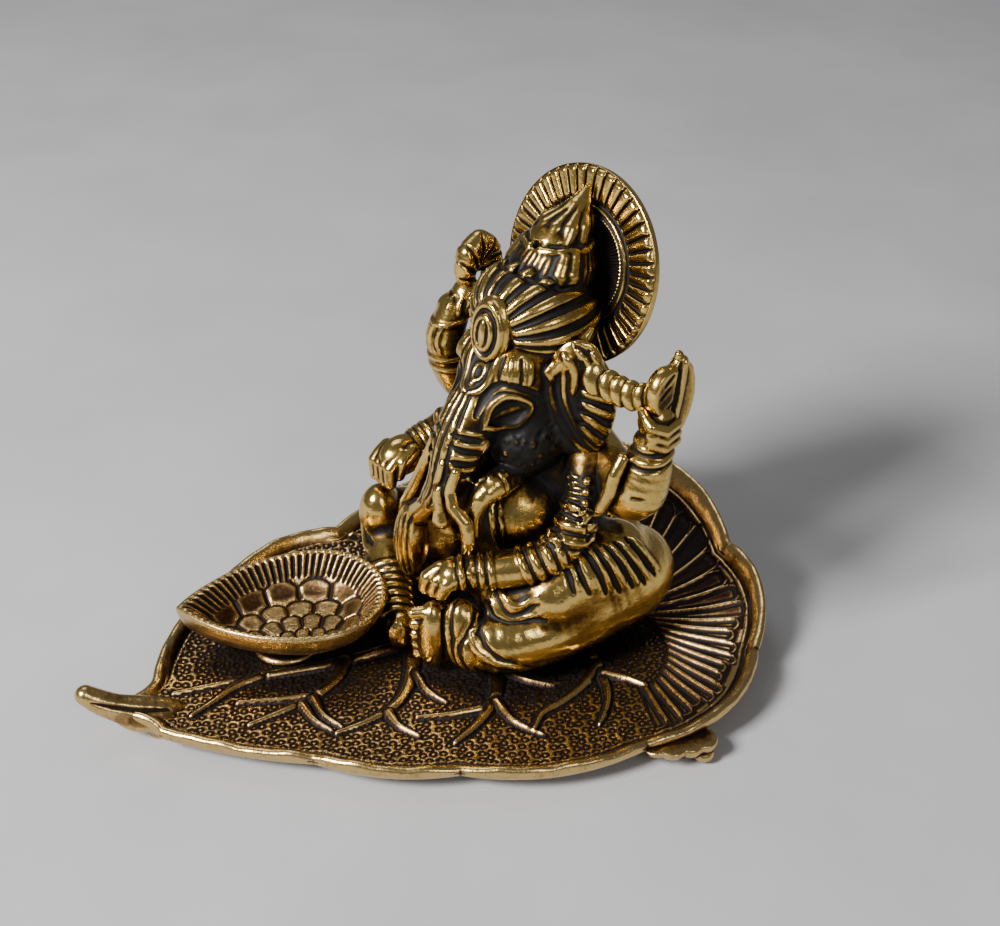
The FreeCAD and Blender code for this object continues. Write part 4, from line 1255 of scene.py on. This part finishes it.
def make_brooch():
    """Oval brooch with two rolled rings and a seed in the middle."""
    clay = Clay((0, -9, 70), (19, 11, 95), 0.28)
    middle = np.array([9.8, 0.8, 82.4])
    axis = (1, 0.12, 0.2)
    clay.ball(middle, (3.0, 5.2, 8.0), 1, turned(y=-10, z=6))
    clay.ring(middle + (2.2, 0, 0), axis, 4.3, 0.9, 0.8, 1.5)
    clay.ring(middle + (2.6, 0, 0), axis, 3.3, 0.7, -0.9, 1.55)
    clay.ring(middle + (3.0, 0, 0), axis, 2.3, 0.8, 0.8, 1.7)
    clay.line([middle + (3.6, 0, 3.0), middle + (4, 0, 0), middle + (3.6, 0, -3.0)], 1.2, 0.9, 0.45)
    for side in (1, -1):
        cleft = [middle + (3.2, side * 1.3, 2.6), middle + (3.4, side * 1.5, 0),
                 middle + (3.2, side * 1.2, -2.6)]
        clay.line(cleft, 0.6, -0.8, 0.3)
    make_clay_piece("turban_brooch", clay, FIGURE_GOLD)


def make_left_rear_arm():
    """Upper arm, raised forearm with two bangles, a hanging ribbon and the closed hand."""
    clay = Clay((-26, 4, 34), (12, 48, 78), 0.33)
    clay.limb([(-10, 13, 50, 6.2), (-8, 22, 47.6, 6.0), (-6, 29, 46.6, 6.0), (-5.8, 32.6, 49, 6.2),
               (-7.2, 33.6, 55, 5.4), (-8.3, 33.8, 61, 4.2)], 1)
    clay.ball((-9, 33.6, 66.4), (4.2, 4.2, 4.8), 0.8)
    ribbon = [(-1.4, 31.2, 58.5, 1.5), (0.8, 31.0, 55, 1.6), (1.5, 30.4, 50.5, 1.6), (2.6, 29, 46, 1.3)]
    clay.limb(ribbon, 0.5)
    for z, radius in ((62.4, 4.8), (59.2, 5.4)):
        clay.ring((-7.8, 34.3, z), (0.1, 0, 1), radius, 1.0, 1.0)
        clay.ring((-7.8, 34.3, z - 1.5), (0.1, 0, 1), radius, 0.7, -1.0)
    for curl in (-1.2, 0.9, 2.9):
        clay.limb([(-5.4, 34 + curl, 68.4 - curl, 1.3), (-4.6, 36.4, 66.4 - curl, 1.4),
                   (-7.2, 38, 65.2 - curl, 1.4), (-11, 37.8, 65.6 - curl, 1.2)], 0.3)
    clay.line([(-2, 39, 42), (-6, 40.5, 43), (-10, 39.6, 44)], 1.0, -0.9)
    clay.line([(1, 35.6, 51), (-1, 39, 50.6)], 0.6, -0.5)
    hatch_shoulder(clay, 1)
    make_clay_piece("left_rear_arm", clay, FIGURE_GOLD)


def hatch_shoulder(clay, side):
    """Close short bars of the shoulder ornament, worn bright on top."""
    for i in range(11):
        x, y, z = 6.0 - 0.3 * i, 15.5 + 0.8 * i, 52.5 - 1.5 * i
        bar = [(x, y, z), (x - 0.6, y + 2.8, z - 0.4), (x - 2.8, y + 5.2, z - 1.4)]
        gap = [(x + 0.2, y + 0.2, z - 0.75), (x - 0.4, y + 3.0, z - 1.2), (x - 2.6, y + 5.4, z - 2.2)]
        clay.line(on_side(bar, side), 0.65, 1.4, 0.4)
        clay.line(on_side(gap, side), 0.5, -1.2, 0.4)
    clay.stain_and_shade((1, side * 21, 46), 9, 0.6)


BLADE_PLANE = 34.5


def make_axe():
    """Ringed handle and a broad curved blade with a thick bevelled edge."""
    clay = Clay((-28, 10, 54), (8, 44, 92), 0.3)
    clay.limb([(-13.8, 34.5, 81.4, 1.0), (-14.8, 34.5, 77, 2.8), (-15.2, 34.5, 71.5, 3.2),
               (-13.6, 34.5, 65.5, 2.8), (-10.8, 34.5, 60.8, 1.0)], 1)
    clay.ball((-9.8, 34.5, 73.5), (5.0, 4, 6.2), 2)
    clay.cut((0, BLADE_PLANE - 1.8, 0), (0, 1, 0))
    clay.cut((0, BLADE_PLANE + 1.8, 0), (0, -1, 0))
    for ahead, width, height in ((0.0, 1.1, 0.9), (1.5, 0.8, -1.0)):
        bevel = [(-14.4, 36.3, 80.8), (-13.8, 36.3, 76), (-12.8, 36.3, 70.5), (-11.6, 36.3, 65.5),
                 (-10.4, 36.3, 61.5)]
        clay.line([(x + ahead, y, z) for x, y, z in bevel], width, height, 0.25)
    for x, z in ((-9.6, 77.6), (-8.4, 74.8), (-9.4, 70.6)):
        clay.line([(x + 1.6, 36.4, z - 1.4), (x - 1.6, 36.4, z + 0.8)], 0.6, -0.8, 0.35)
    handle = smooth_path([(-2.8, 20.6, 73.6), (-4.2, 24.0, 72.6), (-6.2, 28.6, 71.6), (-8.4, 33, 72.0)], 2.1)
    for i, spot in enumerate(handle):
        tall = 4.0 - 0.16 * i
        clay.ball(spot, (0.72 * tall, 1.55, tall), 0.25, turned(x=16 + 5 * (i % 2), z=-32))
    clay.stain_and_shade((-8.5, 37, 73), 6, 0.45)
    make_clay_piece("axe", clay, FIGURE_GOLD)


def make_right_rear_arm():
    """Raised arm with leaf-shaped armlets and a pleated cuff under the hand."""
    clay = Clay((-24, -42, 36), (12, -4, 90), 0.33)
    clay.limb([(-10, -14, 49, 6.5), (-8, -22, 50, 6.2), (-3, -27, 56, 5.6), (0, -27, 66, 4.6),
               (-2, -26.4, 73, 4.0)], 1)
    clay.ball((-5.4, -25.4, 76), (4.2, 4.0, 4.2), 0.8)
    for z in (59, 62, 71.5):
        clay.ring((-1, -27, z), (0.1, 0, 1), 5.2, 0.8, 0.9)
    for y in (-24.5, -27.5, -30.5):
        clay.line([(3.6, y, 70.5), (5.2, y - 0.8, 67), (3.8, y, 63.5)], 1.1, 0.9, 0.45)
        clay.line([(3.6, y - 1.4, 70), (4.6, y - 1.5, 67), (3.8, y - 1.4, 64)], 0.5, -0.7, 0.3)
    for i in range(12):
        a = math.radians(30 * i)
        clay.line([(-4.4 + 4.4 * math.cos(a), -25.6 + 4.4 * math.sin(a), 73),
                   (-5.6 + 4.8 * math.cos(a), -25.4 + 4.8 * math.sin(a), 77.5)], 0.7, 0.8, 0.2)
    hatch_shoulder(clay, -1)
    make_clay_piece("right_rear_arm", clay, FIGURE_GOLD)


def make_noose():
    """The looped cord, hooded over a small round dimple on each side that is painted dark to look like a
    hole, with its strands wound aslant.
    """
    clay = Clay((-20, -32, 74), (4, -18, 97), 0.3)
    clay.limb([(-5.4, -25, 78.4, 2.0), (-4.4, -25, 82, 2.7), (-5.8, -25, 86.6, 3.2), (-9, -25, 88.4, 3.2),
               (-12, -25, 85.4, 3.0), (-12.4, -25, 81, 2.6), (-11.4, -25, 77.6, 2.0)], 1)
    clay.ball((-8.6, -25, 84.4), (3.6, 2.6, 3.0), 1)
    for i in range(7):
        a = math.radians(-20 + 33 * i)
        middle = np.array([-8.4 + 4.4 * math.cos(a), -25, 82.6 + 4.8 * math.sin(a)])
        out = np.array([math.cos(a + 0.5), 0, math.sin(a + 0.5)])
        for side in (1, -1):
            inside, outside = middle - 2.4 * out + (0, side * 2.0, 0), middle + 3.4 * out + (0, side * 1.0, 0)
            clay.line([inside, middle + (0, side * 3.4, 0), outside], 0.85, -1.0, 0.2)
    for y in (-21.6, -28.4):
        clay.scoop((-8.4, y, 80.6), (2.6, 2.4, 2.6))
    # painted shade: the loop's closed middle is darkened to look like a hole
    clay.stain_and_shade((-8.4, -25, 80), 3.6, 0.9)
    make_clay_piece("noose", clay, FIGURE_GOLD)


def make_left_front_arm():
    """Arm bent over the lap, with pleated bangles and three curled fingers."""
    clay = Clay((-18, -4, 14), (42, 42, 60), 0.34)
    clay.limb([(-5, 17, 49, 5.2), (0, 21, 43, 4.8), (5.0, 22.0, 36, 4.6), (10, 20, 31.4, 4.5),
               (16.5, 15.6, 29, 4.5), (22, 11, 28.2, 4.0)], 1)
    clay.ball((27, 7.4, 28), (4.6, 4.2, 3.8), 0.8)
    for i in range(3):
        clay.limb([(27 + 1.2 * i, 10 - 2.6 * i, 29, 1.9), (30.4 + 0.8 * i, 8.4 - 2.4 * i, 27.2, 1.9),
                   (31.4 + 0.6 * i, 7.6 - 2.2 * i, 24.4, 1.6)], 0.3)
    for t in (0, 1, 2, 3):
        spot = (20.4 + 1.7 * t, 12.2 - 1.4 * t, 28.4 - 0.1 * t)
        clay.ring(spot, (0.76, -0.62, -0.1), 4.4 - 0.1 * t, 0.95, 1.0)
        clay.ring(np.add(spot, (0.8, -0.65, 0)), (0.76, -0.62, -0.1), 4.4 - 0.1 * t, 0.5, -0.9)
    for x, y, z in ((14.6, 17.2, 29.6), (12.2, 18.8, 30.4), (9.8, 20.4, 31.6), (7.6, 21.6, 33.2)):
        clay.ring((x, y, z), (0.78, -0.5, -0.36), 4.6, 0.9, 0.9)
        clay.ring((x - 1.1, y + 0.8, z + 0.5), (0.78, -0.5, -0.36), 4.6, 0.6, -1.1)
    for drop in (0, 3.2, 6.4):
        clay.ring((1.4 + 0.7 * drop, 21.2, 42 - drop), (-0.4, -0.1, 0.8), 5.6, 0.95, 1.0)
        clay.ring((2.2 + 0.7 * drop, 21.3, 40.4 - drop), (-0.4, -0.1, 0.8), 5.5, 0.7, -1.0)
    clay.dots(smooth_path([(1.6, 24, 51), (3.0, 25, 45.5), (2.8, 26, 40), (1.5, 28, 36)], 2.6), 1.4, 1.5)
    hatch_shoulder(clay, 1)
    clay.stain_and_shade((4, 22, 40), 8, 0.3)
    make_clay_piece("left_front_arm", clay, FIGURE_GOLD)


def make_right_front_arm():
    """Arm with the hand raised over the knee, fingers side by side."""
    clay = Clay((-16, -42, 24), (30, -8, 60), 0.34)
    clay.limb([(-5, -17, 48, 5.8), (-1, -24, 43, 5.4), (3, -28, 39, 5.0), (8, -29, 37.6, 4.6)], 1)
    clay.ball((13.4, -29, 37), (6.6, 4.8, 5.2), 1)
    for i in range(4):
        clay.limb([(15.5, -32 + 2.0 * i, 39.2, 1.9), (19, -32.4 + 2.0 * i, 36.4, 1.8),
                   (19.4, -32 + 2.0 * i, 32.6, 1.5)], 0.25)
    clay.limb([(13, -25, 40, 1.8), (16.4, -24.6, 38, 1.7), (17.4, -25, 34.6, 1.4)], 0.3)
    for t in (0, 1, 2):
        clay.ring((5.4 + 1.7 * t, -28.6 - 0.2 * t, 38.2 - 0.4 * t), (0.95, -0.2, -0.2), 4.9, 0.9, 0.9)
    for drop in (0, 3):
        clay.ring((-2 + 0.9 * drop, -23 - 0.9 * drop, 44 - drop), (0.5, -0.6, -0.6), 5.6, 0.9, 0.9)
    make_clay_piece("right_front_arm", clay, FIGURE_GOLD)


# ---------------------------------------------------------------- stage

def area_light(name, spot, target, size, power):
    """A square lamp at a spot, turned to its target."""
    light = bpy.data.lights.new(name, "AREA")
    light.size = size
    light.energy = power
    lamp = bpy.data.objects.new(name, light)
    lamp.location = spot
    lamp.rotation_euler = (Vector(target) - Vector(spot)).to_track_quat("-Z", "Y").to_euler()
    bpy.context.scene.collection.objects.link(lamp)


def make_stage():
    """Plain pale floor, soft studio light and a grey surround."""
    half = 1.6
    mesh = bpy.data.meshes.new("floor")
    corners = [(-half, -half, 0), (half, -half, 0), (half, half, 0), (-half, half, 0)]
    mesh.from_pydata(corners, [], [(0, 1, 2, 3)])
    floor = bpy.data.objects.new("floor", mesh)
    bpy.context.scene.collection.objects.link(floor)
    material = bpy.data.materials.new("pale_floor")
    material.use_nodes = True
    tree = material.node_tree
    shader = tree.nodes["Principled BSDF"]
    space = tree.nodes.new("ShaderNodeTexCoord")
    stops = [(0.3, (0.375, 0.37, 0.37)), (0.7, (0.43, 0.425, 0.425))]
    cloudy = noise_of(tree, space, 90.0, 3).outputs["Fac"]
    tree.links.new(ramp_of(tree, cloudy, stops), shader.inputs["Base Color"])
    shader.inputs["Roughness"].default_value = 0.85
    mesh.materials.append(material)
    area_light("key", (-0.75, -0.30, 0.70), (0.0, 0.0, 0.04), 0.30, 26.0)
    area_light("fill", (0.2, -0.9, 0.7), (0.0, 0.0, 0.04), 0.35, 2.6)
    area_light("top", (-0.1, 0.5, 0.9), (0.0, 0.0, 0.05), 0.4, 1.5)
    world = bpy.data.worlds.new("surround")
    world.use_nodes = True
    world.node_tree.nodes["Background"].inputs["Color"].default_value = (0.62, 0.63, 0.66, 1)
    world.node_tree.nodes["Background"].inputs["Strength"].default_value = 0.25
    bpy.context.scene.world = world


def make_camera():
    """The camera stands in front of the tray, a little to the left, and looks down at 33 degrees."""
    azimuth, pitch, distance = math.radians(-14.0), math.radians(33.0), 0.370
    target = Vector((0.023, 0.015, 0.040))
    level = math.cos(pitch)
    back = Vector((math.sin(azimuth) * level, -math.cos(azimuth) * level, math.sin(pitch)))
    camera = bpy.data.objects.new("camera", bpy.data.cameras.new("camera"))
    camera.data.lens = 54.0
    camera.data.sensor_width = 36.0
    camera.data.clip_start = 0.01
    camera.location = target + distance * back
    camera.rotation_euler = (-back).to_track_quat("-Z", "Y").to_euler()
    bpy.context.scene.collection.objects.link(camera)
    bpy.context.scene.camera = camera


make_tray()
make_rim()
make_tip()
make_foot("foot_tip", [])
make_foot("foot_front", [(-6.5, -3.6, 5.2, 2.8), (-3.0, -4.4, 5.0, 3.3), (1.2, -4.6, 4.6, 3.0),
                         (4.6, -3.6, 4.8, 3.4), (4.4, -4.8, 2.2, 2.6)])
make_foot("foot_back", [])
make_bowl()
make_stem()
make_body()
make_head()
make_turban()
make_brooch()
make_halo()
make_left_rear_arm()
make_axe()
make_right_rear_arm()
make_noose()
make_left_front_arm()
make_right_front_arm()
patinate()
for fastener in ("mounting_screws", "mounting_washers"):
    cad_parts[fastener].data.materials.clear()
    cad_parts[fastener].data.materials.append(STEEL)
make_stage()
make_camera()
